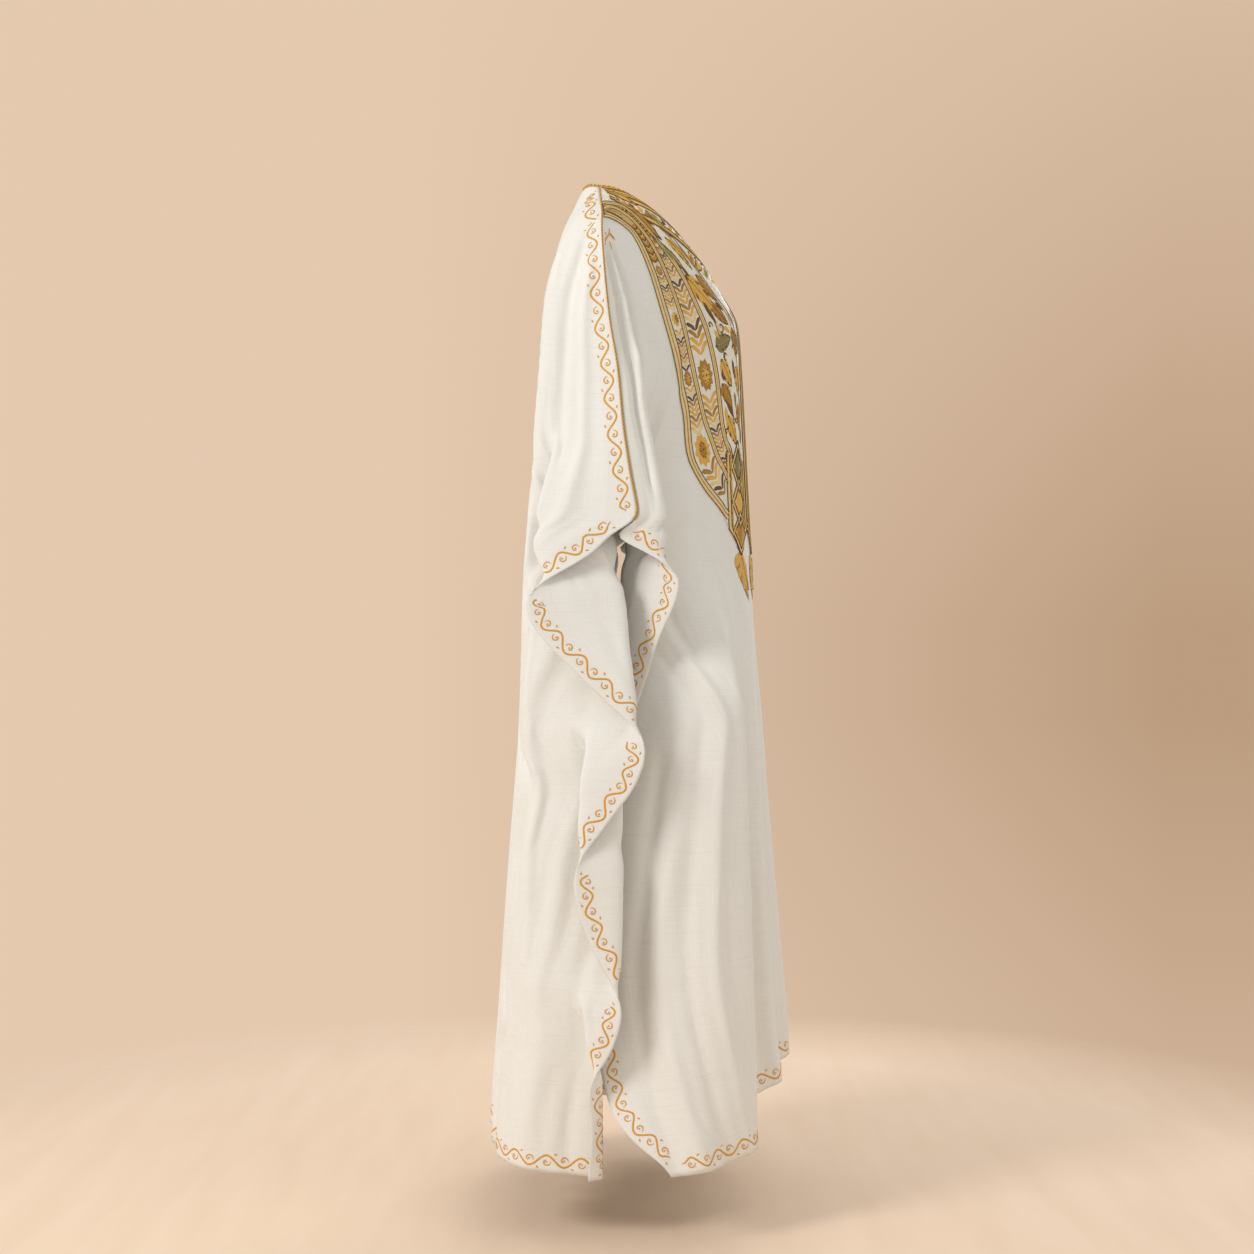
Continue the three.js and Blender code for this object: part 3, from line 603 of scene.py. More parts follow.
def linen_material():
    material, tree, shader = new_material("ivory linen")
    group = tree.nodes.new("ShaderNodeGroup")
    group.node_tree = LINEN
    place = uv_place(tree, "cut")
    link(tree, place, group.inputs["Cut place"])
    rumples = noise(tree, stretched(tree, place, (26, 11, 1)), 1.0, 4.0, 0.55)
    height = maths(tree, "ADD", maths(tree, "MULTIPLY", group.outputs["Height"], 0.10), rumples)
    link(tree, group.outputs["Colour"], shader.inputs["Base Color"])
    link(tree, group.outputs["Roughness"], shader.inputs["Roughness"])
    shader.inputs["Sheen Weight"].default_value = 0.12
    shader.inputs["Sheen Roughness"].default_value = 0.5
    shader.inputs["Specular IOR Level"].default_value = 0.25
    bump(tree, shader, height, 0.35, 0.0035)
    return material


linen = linen_material()
for piece in (back_piece, front_piece):
    piece.data.materials.append(linen)

# %% [markdown]
# ## Places on the cloth
# Embroidery is drawn flat and then laid on the cloth. For a border, the flat plane's x runs along
# an edge of the cloth and its y runs inwards. To find where that is on the surface, a line of
# points starts on the edge and walks inwards over the cloth in short straight steps.

# %% Look up and walk over a cloth surface
def cell_values(table, row, column):
    """A table's values at fractional rows and columns."""
    rows, columns = table.shape[:2]
    row = np.clip(row, 0, rows - 1.000001)
    column = np.clip(column, 0, columns - 1.000001)
    i, j = row.astype(int), column.astype(int)
    u, v = (row - i)[..., None], (column - j)[..., None]
    upper = table[i, j] * (1 - v) + table[i, j + 1] * v
    lower = table[i + 1, j] * (1 - v) + table[i + 1, j + 1] * v
    return upper * (1 - u) + lower * u


def unit(vectors):
    return vectors / np.maximum(np.linalg.norm(vectors, axis=-1, keepdims=True), 1e-12)


def walk_inwards(cloth, rows, columns, width, step=0.003, hand=1):
    """Points and normals (edge points x steps) over a strip that starts on a line of the cloth."""
    points = cloth["points"]
    down_table = np.gradient(points, axis=0)
    across_table = np.gradient(points, axis=1)
    row, column = np.array(rows, float), np.array(columns, float)
    place = cell_values(points, row, column)
    along = unit(np.gradient(place, axis=0))
    inward = hand * unit(np.cross(cell_values(cloth["normals"], row, column), along))
    places, normals = [place], [cell_values(cloth["normals"], row, column)]
    for _ in range(int(round(width / step))):
        down = cell_values(down_table, row, column)
        across = cell_values(across_table, row, column)
        dd, aa, da = (down * down).sum(-1), (across * across).sum(-1), (down * across).sum(-1)
        d_in, a_in = (down * inward).sum(-1) * step, (across * inward).sum(-1) * step
        area = np.maximum(dd * aa - da * da, 1e-14)
        row = np.clip(row + (d_in * aa - a_in * da) / area, 0, points.shape[0] - 1)
        column = np.clip(column + (a_in * dd - d_in * da) / area, 0, points.shape[1] - 1)
        moved = cell_values(points, row, column)
        inward = unit(0.7 * inward + 0.3 * unit(moved - places[-1]))
        normal = unit(cell_values(cloth["normals"], row, column))
        inward = unit(inward - normal * (inward * normal).sum(-1, keepdims=True))
        places.append(moved)
        normals.append(normal)
    lengths = np.linalg.norm(np.diff(places[0], axis=0), axis=1)
    return {"places": np.stack(places, 1), "normals": np.stack(normals, 1), "step": step, "hand": hand,
            "along": np.concatenate([[0], np.cumsum(lengths)]), "end": (row, column)}


def lay(bm, strip, lift=0.0, face=1, most_stretch=None):
    """Moves flat work onto a strip: x along the edge, y inwards, z out from the cloth."""
    flat = np.array([vert.co for vert in bm.verts])
    flat_lengths = {edge: edge.calc_length() for edge in bm.edges} if most_stretch else {}
    row = np.interp(flat[:, 0], strip["along"], np.arange(len(strip["along"])))
    column = flat[:, 1] / strip["step"]
    place = cell_values(strip["places"], row, column)
    normal = unit(cell_values(strip["normals"], row, column))
    inside = CLOTH_WALL if face < 0 else 0
    laid = place + normal * face * (flat[:, 2] + lift + inside)[:, None]
    for vert, co in zip(bm.verts, laid):
        vert.co = co
    torn = {vert for edge, length in flat_lengths.items() if edge.calc_length() > length * most_stretch
            for vert in edge.verts}
    bmesh.ops.delete(bm, geom=list(torn), context="VERTS")
    if face * strip.get("hand", 1) < 0:
        bmesh.ops.reverse_faces(bm, faces=bm.faces)


def edge_line(first, last, count):
    """Fractional rows and columns of a straight line in the cloth's table."""
    t = np.linspace(0, 1, count)
    return first[0] + (last[0] - first[0]) * t, first[1] + (last[1] - first[1]) * t


def row_at(cloth, drop):
    return float(np.interp(drop, cloth["flat_drops"], np.arange(len(cloth["flat_drops"]))))


# %% Strips along the open edges, hems and the shoulder and sleeve seam
BORDER = 0.036
LAST_ROW = YOKE_CELLS + LEVEL_CELLS
LAST_COLUMN = 2 * HALF_CELLS


def side_strip(cloth, column, first_drop, last_drop):
    rows, columns = edge_line((row_at(cloth, first_drop), column), (row_at(cloth, last_drop), column), 400)
    if (column == 0) == (cloth["turn"] > 0):
        rows, columns = rows[::-1], columns[::-1]
    return walk_inwards(cloth, rows, columns, BORDER)


def hem_strip(cloth):
    rows, columns = edge_line((LAST_ROW, 0), (LAST_ROW, LAST_COLUMN), 400)
    if cloth["turn"] > 0:
        rows, columns = rows[::-1], columns[::-1]
    return walk_inwards(cloth, rows, columns, BORDER)

# %% [markdown]
# ## Embroidery thread
# Satin stitch lies in close parallel threads across each line, so it shines in fine ribs. One node
# group gives the ribs, paints shade into the thread where the ribs are low and adds a little uneven
# dye. Each thread colour is a small material of its own, with a darker colour for both the painted
# shade and the dye. The ribs follow a UV map that runs along the stitched line.

# %% A node group for satin stitch, and the thread colours
def satin_group():
    tree = bpy.data.node_groups.new("satin stitch", "ShaderNodeTree")
    socket(tree, "Stitch place", "NodeSocketVector", "INPUT")
    socket(tree, "Thread", "NodeSocketColor", "INPUT", (0.7, 0.4, 0.1, 1))
    socket(tree, "Shaded thread", "NodeSocketColor", "INPUT", (0.4, 0.2, 0.05, 1))
    socket(tree, "Colour", "NodeSocketColor", "OUTPUT")
    socket(tree, "Roughness", "NodeSocketFloat", "OUTPUT")
    socket(tree, "Height", "NodeSocketFloat", "OUTPUT")
    given = tree.nodes.new("NodeGroupInput")
    result = tree.nodes.new("NodeGroupOutput")
    place = given.outputs["Stitch place"]
    ribs = noise(tree, stretched(tree, place, (1900, 90, 1)), 1.0, 2.0)
    uneven = noise(tree, place, 130.0, 2.0)
    # painted shade where the rib noise is low, in the grooves between the ribs; the uneven part added next is
    # dye
    shade = maths(tree, "MULTIPLY", ramp(tree, ribs, 0.62, 0.34), 0.55)
    shade = maths(tree, "ADD", shade, maths(tree, "MULTIPLY", ramp(tree, uneven, 0.4, 0.75), 0.35))
    colour = blend_colours(tree, shade, given.outputs["Thread"], given.outputs["Shaded thread"])
    link(tree, colour, result.inputs["Colour"])
    link(tree, maths(tree, "ADD", maths(tree, "MULTIPLY", ribs, 0.3), 0.3), result.inputs["Roughness"])
    link(tree, ribs, result.inputs["Height"])
    return tree


SATIN = satin_group()


def thread_material(name, thread, shaded):
    material, tree, shader = new_material(name)
    group = tree.nodes.new("ShaderNodeGroup")
    group.node_tree = SATIN
    link(tree, uv_place(tree, "stitch"), group.inputs["Stitch place"])
    group.inputs["Thread"].default_value = (*thread, 1)
    group.inputs["Shaded thread"].default_value = (*shaded, 1)
    link(tree, group.outputs["Colour"], shader.inputs["Base Color"])
    link(tree, group.outputs["Roughness"], shader.inputs["Roughness"])
    shader.inputs["Specular IOR Level"].default_value = 0.35
    bump(tree, shader, group.outputs["Height"], 0.5, 0.0006)
    return material


# each thread: its own colour, then a darker one for the painted shade between the ribs and for the uneven dye
THREADS = {
    "saffron": thread_material("saffron thread", (0.80, 0.40, 0.03), (0.62, 0.26, 0.015)),
    "ochre": thread_material("ochre thread", (0.50, 0.25, 0.030), (0.33, 0.15, 0.015)),
    "gold": thread_material("bright gold thread", (0.84, 0.50, 0.09), (0.60, 0.31, 0.04)),
    "straw": thread_material("straw thread", (0.92, 0.71, 0.36), (0.70, 0.48, 0.18)),
    "brown": thread_material("brown thread", (0.17, 0.085, 0.02), (0.09, 0.045, 0.012)),
    "olive": thread_material("olive thread", (0.29, 0.235, 0.07), (0.17, 0.14, 0.04)),
    "chalk": thread_material("chalk thread", (0.88, 0.85, 0.76), (0.72, 0.66, 0.52)),
}
THREAD_ORDER = list(THREADS)
print(len(THREADS), "thread colours")

# %% [markdown]
# ## Flat stitched shapes
# Every motif is made of three raised shapes: a line, a petal and a dot. Each starts as a small
# flat grid, is bent or narrowed, and is domed a little, because the stitches are padded by the
# cloth that they pull in. They are drawn flat in metres and laid on the cloth afterwards.

# %% Lines, petals and dots of thread
def stitched_grid(bm, cells, sides, place, thread, length, width):
    """A grid whose points go where place(t, s) says: t from 0 to 1, s from -1 to 1."""
    uv = bm.loops.layers.uv.active
    made = bmesh.ops.create_grid(bm, x_segments=cells, y_segments=sides, size=1)
    colour = THREAD_ORDER.index(thread)
    for vert in made["verts"]:
        t, s = (vert.co.x + 1) / 2, vert.co.y
        for loop in vert.link_loops:
            loop[uv].uv = (t * length, s * width / 2)
            loop.face.material_index = colour
            loop.face.smooth = True
        vert.co = place(t, s)


def stitched_line(bm, path, width, thread, height=0.0008, ends=0.0):
    """A raised line along a flat path of (x, y); `ends` narrows its last part at both ends."""
    path = np.array(path, float)
    along = unit(np.gradient(path, axis=0))
    cells = len(path) - 1

    def place(t, s):
        i = round(t * cells)
        taper = 1.0 if not ends else min(1.0, 0.25 + min(t, 1 - t) / ends)
        side = s * width / 2 * taper
        return (path[i, 0] - along[i, 1] * side, path[i, 1] + along[i, 0] * side,
                height * (1 - s * s) - 0.0001)

    length = float(np.linalg.norm(np.diff(path, axis=0), axis=1).sum())
    stitched_grid(bm, cells, 2, place, thread, length, width)


def stitched_petal(bm, base, tip, width, thread, fullness=0.8, height=0.0011, cells=6, sides=4):
    """A leaf shape from base to tip; fullness under 1 puts its widest part nearer the base."""
    base, tip = np.array(base, float), np.array(tip, float)
    axis = tip - base
    length = float(np.linalg.norm(axis))
    across = np.array((-axis[1], axis[0])) / length

    def place(t, s):
        swell = math.sin(math.pi * t ** fullness) ** 0.8
        side = across * s * width / 2 * swell
        point = base + axis * t + side
        return (point[0], point[1], height * swell * (1 - s * s) - 0.0001)

    stitched_grid(bm, cells, sides, place, thread, length, width)


def stitched_dot(bm, centre, radius, thread, height=0.001):
    """A round knot: a small cone cap rounded by its middle ring."""
    uv = bm.loops.layers.uv.active
    made = bmesh.ops.create_cone(bm, cap_ends=False, segments=9, radius1=radius, radius2=radius * 0.35,
                                 depth=height)
    colour = THREAD_ORDER.index(thread)
    crown = [vert for vert in made["verts"] if vert.co.z > 0]
    bmesh.ops.contextual_create(bm, geom=[e for e in bm.edges if e.verts[0] in crown and e.verts[1] in crown])
    for vert in made["verts"]:
        for loop in vert.link_loops:
            loop[uv].uv = (vert.co.x, vert.co.y)
            loop.face.material_index = colour
            loop.face.smooth = True
        vert.co = (vert.co.x + centre[0], vert.co.y + centre[1], vert.co.z + height / 2 - 0.0001)


def flat_work():
    bm = bmesh.new()
    bm.loops.layers.uv.new("stitch")
    return bm


def arc_path(centre, radius, start, turn, cells, end_radius=None):
    """Points round a centre from one angle through a turn; a second radius makes a spiral."""
    angles = start + turn * np.linspace(0, 1, cells + 1)
    radii = radius + ((radius if end_radius is None else end_radius) - radius) * np.linspace(0, 1, cells + 1)
    return np.stack([centre[0] + radii * np.cos(angles), centre[1] + radii * np.sin(angles)], 1)


# %% [markdown]
# ## The running vine
# The border is a vine that runs along the edge in even waves. In each hollow of the wave a tendril
# curls round a dot, and small buds sit on the outer side. It is drawn once for a strip of a given
# length and then laid on the outer or the inner face of the cloth, because it shows on both.

# %% Draw the vine for a strip
VINE_REPEAT = 0.049
VINE_CENTRE = 0.0165
VINE_SWING = 0.0078


def vine(strip, skip_start, skip_end):
    bm = flat_work()
    start, end = skip_start, float(strip["along"][-1]) - skip_end
    repeats = max(2, round((end - start) / VINE_REPEAT))
    repeat = (end - start) / repeats
    x = np.linspace(start, end, repeats * 14 + 1)
    phase = 2 * np.pi * (x - start) / repeat
    swing = VINE_SWING * np.clip(np.minimum(x - start, end - x) / 0.012, 0.15, 1)
    stem = np.stack([x, VINE_CENTRE + swing * np.sin(phase)], 1)
    stitched_line(bm, stem, 0.0027, "saffron", ends=0.01)
    for k in range(2 * repeats):
        crest = start + repeat * (k / 2 + 0.25)
        side = 1 if k % 2 == 0 else -1
        centre = (crest, VINE_CENTRE - side * 0.0012)
        curl = arc_path(centre, 0.0062, side * 0.15, -side * 4.6, 9, 0.0026)
        stitched_line(bm, curl, 0.0018, "saffron", 0.0007, 0.3)
        stitched_dot(bm, centre, 0.0014, "saffron")
        bud = (crest + repeat * 0.20, VINE_CENTRE + side * 0.0088)
        stitched_petal(bm, bud, (bud[0] + 0.005, bud[1] + side * 0.002), 0.0026, "saffron", 0.8, 0.0008, 3, 2)
    return bm


def sew_on(name, layers, material_names=THREAD_ORDER):
    """One piece from several laid bmeshes, each thrown away once it is joined."""
    mesh = bpy.data.meshes.new(name)
    whole = bmesh.new()
    for bm in layers:
        part = bpy.data.meshes.new("part")
        bm.to_mesh(part)
        bm.free()
        whole.from_mesh(part)
        bpy.data.meshes.remove(part)
    whole.to_mesh(mesh)
    whole.free()
    piece = bpy.data.objects.new(name, mesh)
    bpy.context.collection.objects.link(piece)
    for thread in material_names:
        mesh.materials.append(THREADS[thread])
    print(name, len(mesh.polygons), "faces")
    return piece


def vine_on(strip, skip_start, skip_end, face):
    bm = vine(strip, skip_start, skip_end)
    lay(bm, strip, 0.0003, face, 1.6)
    return bm


EDGE_TOP = {"back": 506, "front": 516}
CORNER = 0.018
borders = {}
for cloth in (back_cloth, front_cloth):
    layers = []
    hem = hem_strip(cloth)
    sides = [side_strip(cloth, column, EDGE_TOP[cloth["name"]], cloth["flat_drops"][-1])
             for column in (0, LAST_COLUMN)]
    for face in (1, -1):
        layers.append(vine_on(hem, CORNER, CORNER, face))
        for strip in sides:
            layers.append(vine_on(strip, CORNER, CORNER, face))
    borders[cloth["name"]] = layers


# %% The vine beside the shoulder and sleeve seam, on the back panel only
def seam_strip(side):
    """From the wrist up the sleeve and along the shoulder to the neck, side -1 for the right."""
    wrist = row_at(back_cloth, WRIST_DROP)
    neck_column = HALF_CELLS * (1 + side * (BACK["neck_share"] + 0.02))
    edge_column = 0 if side < 0 else LAST_COLUMN
    up_rows, up_columns = edge_line((wrist, edge_column), (0, edge_column), 220)
    in_rows, in_columns = edge_line((0, edge_column), (0, neck_column), 80)
    rows = np.concatenate([up_rows[:-1], in_rows])
    columns = np.concatenate([up_columns[:-1], in_columns])
    if side > 0:
        rows, columns = rows[::-1], columns[::-1]
    return walk_inwards(back_cloth, rows, columns, BORDER)


for side in (-1, 1):
    strip = seam_strip(side)
    borders["back"].append(vine_on(strip, 0.014, 0.012, 1))


# %% A sprig beside the seam on the front, just under the breast piece
SPRIG = (36, 92)  # its first and last flat drop


def sprig(side):
    column = 0 if side < 0 else LAST_COLUMN
    first, last = [(row_at(front_cloth, drop), column) for drop in SPRIG]
    rows, columns = edge_line(first, last, 60)
    strip = walk_inwards(front_cloth, rows, columns, 0.027, 0.003, -side)
    bm = flat_work()
    x = np.linspace(0.004, float(strip["along"][-1]) - 0.004, 18)
    stem = np.stack([x, 0.009 + 0.004 * np.sin(x * 130)], 1)
    stitched_line(bm, stem, 0.0024, "saffron", ends=0.1)
    for at, reach in ((0.012, 0.012), (0.030, 0.010)):
        stitched_petal(bm, (at, 0.012), (at + 0.010, 0.012 + reach), 0.0065, "saffron", 0.9, 0.0009, 4, 2)
        stitched_dot(bm, (at + 0.008, 0.006), 0.0016, "saffron")
    lay(bm, strip, 0.0003)
    return bm


for side in (-1, 1):
    borders["front"].append(sprig(side))
back_border = sew_on("back_border", borders["back"])
front_border = sew_on("front_border", borders["front"])

# %% [markdown]
# ## The breast piece
# A dense piece of embroidery covers the chest from the shoulders to the waist and ends in hanging
# points. Three lines of braid start at the shoulder seam, sweep down each side and close on a
# column of lozenges. Between them lie two bands of chevrons and medallions, and inside them a pale
# field with leaves. Each line is a short table of flat drop and share of the cloth's half width,
# and one half mirrors the other.

# %% The lines of the breast piece
BIB_EDGE = [(18, 0.998), (34, 0.955), (54, 0.868), (77, 0.782), (96, 0.738), (146, 0.715),
            (181, 0.702), (220, 0.673), (250, 0.648), (287, 0.613), (350, 0.528), (408, 0.46),
            (436, 0.398), (458, 0.33), (474, 0.275), (485, 0.238), (490, 0.218)]
BIB_MIDDLE = [(0, 0.945), (50, 0.735), (79, 0.662), (116, 0.627), (146, 0.615), (181, 0.593),
              (216, 0.56), (256, 0.533), (286, 0.503), (305, 0.475), (347, 0.407), (376, 0.343),
              (404, 0.288), (428, 0.225), (436, 0.212)]
BIB_INNER = [(0, 0.89), (56, 0.635), (96, 0.575), (121, 0.535), (139, 0.505), (179, 0.452),
             (216, 0.398), (250, 0.365), (280, 0.338), (344, 0.288), (372, 0.252), (394, 0.213)]
GROUND_FOOT = [(485, 0.238), (495, 0.218), (503, 0.205), (520, 0.172), (538, 0.139)]
GROUND_EDGE = [(0, 1.0)] + BIB_EDGE[:-2] + GROUND_FOOT
POINTS_FROM = 480  # below this flat drop the ground parts into three points
GROUND_POINTS = [(0, 538), (0.064, 503), (0.139, 538), (0.25, 538)]  # share out, flat drop of its end
GROUND_LIFT = 0.0012
GROUND_WALL = 0.0009

FLAT_DROPS = front_cloth["flat_drops"]
ROWS_OF_CLOTH = np.arange(len(FLAT_DROPS))
HALF_LENGTHS = np.linalg.norm(np.diff(front_cloth["points"][:, :HALF_CELLS + 1], axis=1), axis=2).sum(1)


def spread(values, along, count):
    """Values at even distances."""
    return np.interp(np.linspace(0, along[-1], count), along, values)


def cloth_line(table, side, count=260):
    """Fractional rows and columns at even distances along a line, side -1 for the wearer's right."""
    table = np.array(table, float)
    down = np.linspace(table[0, 0], table[-1, 0], 900)
    rows = np.interp(down, FLAT_DROPS, ROWS_OF_CLOTH)
    columns = HALF_CELLS * (1 + side * look_up(table, 1, down))
    places = cell_values(front_cloth["points"], rows, columns)
    along = np.concatenate([[0], np.cumsum(np.linalg.norm(np.diff(places, axis=0), axis=1))])
    return spread(rows, along, count), spread(columns, along, count)


def braid_strip(line, width, side):
    return walk_inwards(front_cloth, *line, width, width / 8, -side)


def lane(outer, inner, side, steps=8):
    """A strip between two lines, measured in its own width, with rungs that cross it squarely."""
    outer_places = cell_values(front_cloth["points"], *outer)
    inner_places = cell_values(front_cloth["points"], *inner)
    heading = unit(np.gradient(outer_places, axis=0))[:, None] + unit(np.gradient(inner_places, axis=0))[None]
    gap = inner_places[None] - outer_places[:, None]
    skew = np.abs((gap * unit(heading)).sum(-1)) + 0.1 * np.linalg.norm(gap, axis=-1)
    facing = np.maximum.accumulate(np.argmin(skew, axis=1)).astype(float)
    facing = np.convolve(np.pad(facing, 8, mode="edge"), np.ones(17) / 17, mode="valid")
    index = np.arange(len(inner[0]))
    met = [np.interp(facing, index, values) for values in inner]
    places, normals = [], []
    for k in range(steps + 1):
        row, column = mix(outer[0], met[0], k / steps), mix(outer[1], met[1], k / steps)
        places.append(cell_values(front_cloth["points"], row, column))
        normals.append(unit(cell_values(front_cloth["normals"], row, column)))
    places, normals = np.stack(places, 1), np.stack(normals, 1)
    width = np.maximum(np.linalg.norm(places[:, -1] - places[:, 0], axis=1), 0.004)
    middle = places[:, steps // 2]
    lengths = np.linalg.norm(np.diff(middle, axis=0), axis=1) / (width[1:] + width[:-1]) * 2
    return {"places": places, "normals": normals, "step": 1 / steps, "hand": -side,
            "along": np.concatenate([[0], np.cumsum(lengths)]), "width": float(width.mean())}


# %% The ground that carries the embroidery
def bib_ground():
    rows, columns = 150, 84
    table = np.array(GROUND_EDGE, float)
    bm = flat_work()
    uv = bm.loops.layers.uv.active
    bmesh.ops.create_grid(bm, x_segments=columns, y_segments=rows, size=1)
    flat = np.array([vert.co for vert in bm.verts])
    down = (1 - flat[:, 1]) / 2 * (table[-1, 0] - table[0, 0]) + table[0, 0]
    share = flat[:, 0] * look_up(table, 1, down)
    bottom = np.interp(np.abs(share), *np.array(GROUND_POINTS).T)
    below = np.clip(down - POINTS_FROM, 0, None)
    down = down - below * (table[-1, 0] - bottom) / (table[-1, 0] - POINTS_FROM)
    row = np.interp(down, FLAT_DROPS, ROWS_OF_CLOTH)
    column = HALF_CELLS * (1 + share)
    place = cell_values(front_cloth["points"], row, column)
    normal = unit(cell_values(front_cloth["normals"], row, column))
    laid = place + normal * GROUND_LIFT
    for vert, co, x, d in zip(bm.verts, laid, (column / HALF_CELLS - 1) * CUT_HALF * MM, down * MM):
        vert.co = co
        for loop in vert.link_loops:
            loop[uv].uv = (d, x)
    piece = new_piece("bib_ground", bm)
    give_wall(piece, GROUND_WALL)
    piece.data.materials.append(THREADS["chalk"])
    return piece


bib_piece = bib_ground()
print("ground of the breast piece:", len(bib_piece.data.polygons), "faces")

# %% [markdown]
# ## Braids and bands of chevrons
# A braid is pale couched cord between dark outlines. A band is a row of chevrons, each two thick
# leaf shapes that meet on the middle of the band, broken now and then by a medallion. A band is
# measured in its own width, so the chevrons grow and shrink with it and never look squeezed.

# %% Braids
def braid_lines(width, pale, groove):
    """Two pale cords with a groove between them and a dark outline on each side."""
    dark = width * 0.13
    cord = (width - 2.4 * dark) / 2
    return [(dark / 2, dark, "brown"), (dark + cord / 2, cord * 1.02, pale),
            (width / 2, width * 0.07, groove), (width - dark - cord / 2, cord * 1.02, pale),
            (width - dark / 2, dark, "brown")]


def draw_lines(strip, lines, height=0.0012, start=0.0, end=1.0):
    """Lines that run along a strip: place across, width, thread."""
    bm = flat_work()
    length = float(strip["along"][-1])
    for y, width, thread in lines:
        x = np.linspace(start * length, end * length, max(8, int(length * (end - start) / 0.004)))
        stitched_line(bm, np.stack([x, np.full(len(x), y)], 1), width, thread, height)
    lay(bm, strip, GROUND_LIFT)
    return bm


# %% Chevrons and medallions, in units of the band's width
def medallion(bm, x, fill, inside):
    for k in range(10):
        angle = (k + 0.5) * math.pi / 5
        tip = (x + 0.60 * math.cos(angle), 0.5 + 0.45 * math.sin(angle))
        stitched_petal(bm, (x, 0.5), tip, 0.30, fill, 1.4, 0.0014, 4, 2)
    stitched_petal(bm, (x - 0.42, 0.5), (x + 0.42, 0.5), 0.52, inside, 1.0, 0.0021, 6, 4)
    for k in range(8):
        angle = k * math.pi / 4
        stitched_dot(bm, (x + 0.24 * math.cos(angle), 0.5 + 0.15 * math.sin(angle)), 0.035, "brown", 0.0026)
    stitched_dot(bm, (x, 0.5), 0.075, "brown", 0.0028)


def chevron(bm, x, thread, thickness):
    for side in (-1, 1):
        arm = [(x + 0.20 - 0.38 * t - 0.05 * math.sin(math.pi * t), 0.5 + side * (0.012 + 0.465 * t))
               for t in np.linspace(0, 1, 6)]
        stitched_line(bm, arm, thickness, thread, 0.0014, 0.16)


CHEVRON_STEP = 0.29
SHOULDER_LINES = 9
SHOULDER_SHARE = 0.13  # of the band's length, where couched lines run instead of chevrons
CHEVRON_COLOURS = ("gold", "ochre", "gold", "straw", "brown", "ochre", "gold")


def chevron_band(strip, filled, medallions):
    """The first stretch has a gold ground; medallions sit where the list says, as shares."""
    bm = flat_work()
    length = float(strip["along"][-1])
    centres = [share * length for share in medallions]
    if filled > 0:
        def ground(t, s):
            return t * filled * length, 0.5 + s * 0.49, 0.0004
        stitched_grid(bm, 60, 4, ground, "ochre", length, 1.0)
    for k in range(SHOULDER_LINES):
        x = np.linspace(0, length * SHOULDER_SHARE * (0.8 + 0.4 * (k % 2)), 30)
        y = np.full(30, 0.06 + 0.88 * k / (SHOULDER_LINES - 1))
        stitched_line(bm, np.stack([x, y], 1), 0.09, ("brown", "straw", "gold", "straw")[k % 4], 0.0013)
    for k in range(1, int(length / CHEVRON_STEP)):
        x = k * CHEVRON_STEP
        if x < length * SHOULDER_SHARE * 1.2 or min(abs(x - centre) for centre in centres) < 0.66:
            continue
        on_gold = x < filled * length
        thread = ("brown", "straw", "gold")[k % 3] if on_gold else CHEVRON_COLOURS[k % 7]
        chevron(bm, x, thread, 0.15 if on_gold else 0.185)
    for k, centre in enumerate(centres):
        medallion(bm, centre, *(("ochre", "gold"), ("gold", "ochre"))[k % 2])
    uv = bm.loops.layers.uv.active
    for face in bm.faces:
        for loop in face.loops:
            loop[uv].uv *= strip["width"]
    lay(bm, strip, GROUND_LIFT)
    return bm


OUTER_BRAID, MIDDLE_BRAID, INNER_BRAID = 0.0150, 0.0110, 0.0110
bib_layers = []
for side in (-1, 1):
    edge = braid_strip(cloth_line(BIB_EDGE, side), OUTER_BRAID, side)
    middle_line, inner_line = cloth_line(BIB_MIDDLE, side), cloth_line(BIB_INNER, side)
    middle = braid_strip(middle_line, MIDDLE_BRAID, side)
    inner = braid_strip(inner_line, INNER_BRAID, side)
    bib_layers.append(draw_lines(edge, braid_lines(OUTER_BRAID, "straw", "ochre")))
    bib_layers.append(draw_lines(middle, braid_lines(MIDDLE_BRAID, "straw", "gold")))
    bib_layers.append(draw_lines(inner, braid_lines(INNER_BRAID, "straw", "gold")))
    bib_layers.append(chevron_band(lane(edge["end"], middle_line, side), 0.36, (0.40, 0.57, 0.745, 0.90)))
    bib_layers.append(chevron_band(lane(middle["end"], inner_line, side), 0.30, (0.35, 0.58, 0.83)))

# %% [markdown]
# ## The leafy field, the neck stripes and the hanging points
# Inside the braids the ground stays pale. Large leaves, darker olive leaves and curled tendrils
# fill it. Stripes follow the neck and run down the middle of the chest, and on each side of them a
# chain of lozenges ends in a hanging point.

# %% A flat map of one half of the front, and its leaves
FIELD_STEP = 0.004
FIELD_ACROSS = np.arange(0, 0.24, FIELD_STEP)


def field_map(side):
    """x is the distance from the middle, y the flat drop."""
    across, down = np.meshgrid(FIELD_ACROSS, np.arange(0, 0.62, FIELD_STEP), indexing="ij")
    row = np.interp(down / MM, FLAT_DROPS, ROWS_OF_CLOTH)
    column = HALF_CELLS * (1 + side * across / np.interp(row, ROWS_OF_CLOTH, HALF_LENGTHS))
    return {"places": cell_values(front_cloth["points"], row, column),
            "normals": unit(cell_values(front_cloth["normals"], row, column)),
            "step": FIELD_STEP, "hand": -side, "along": FIELD_ACROSS}


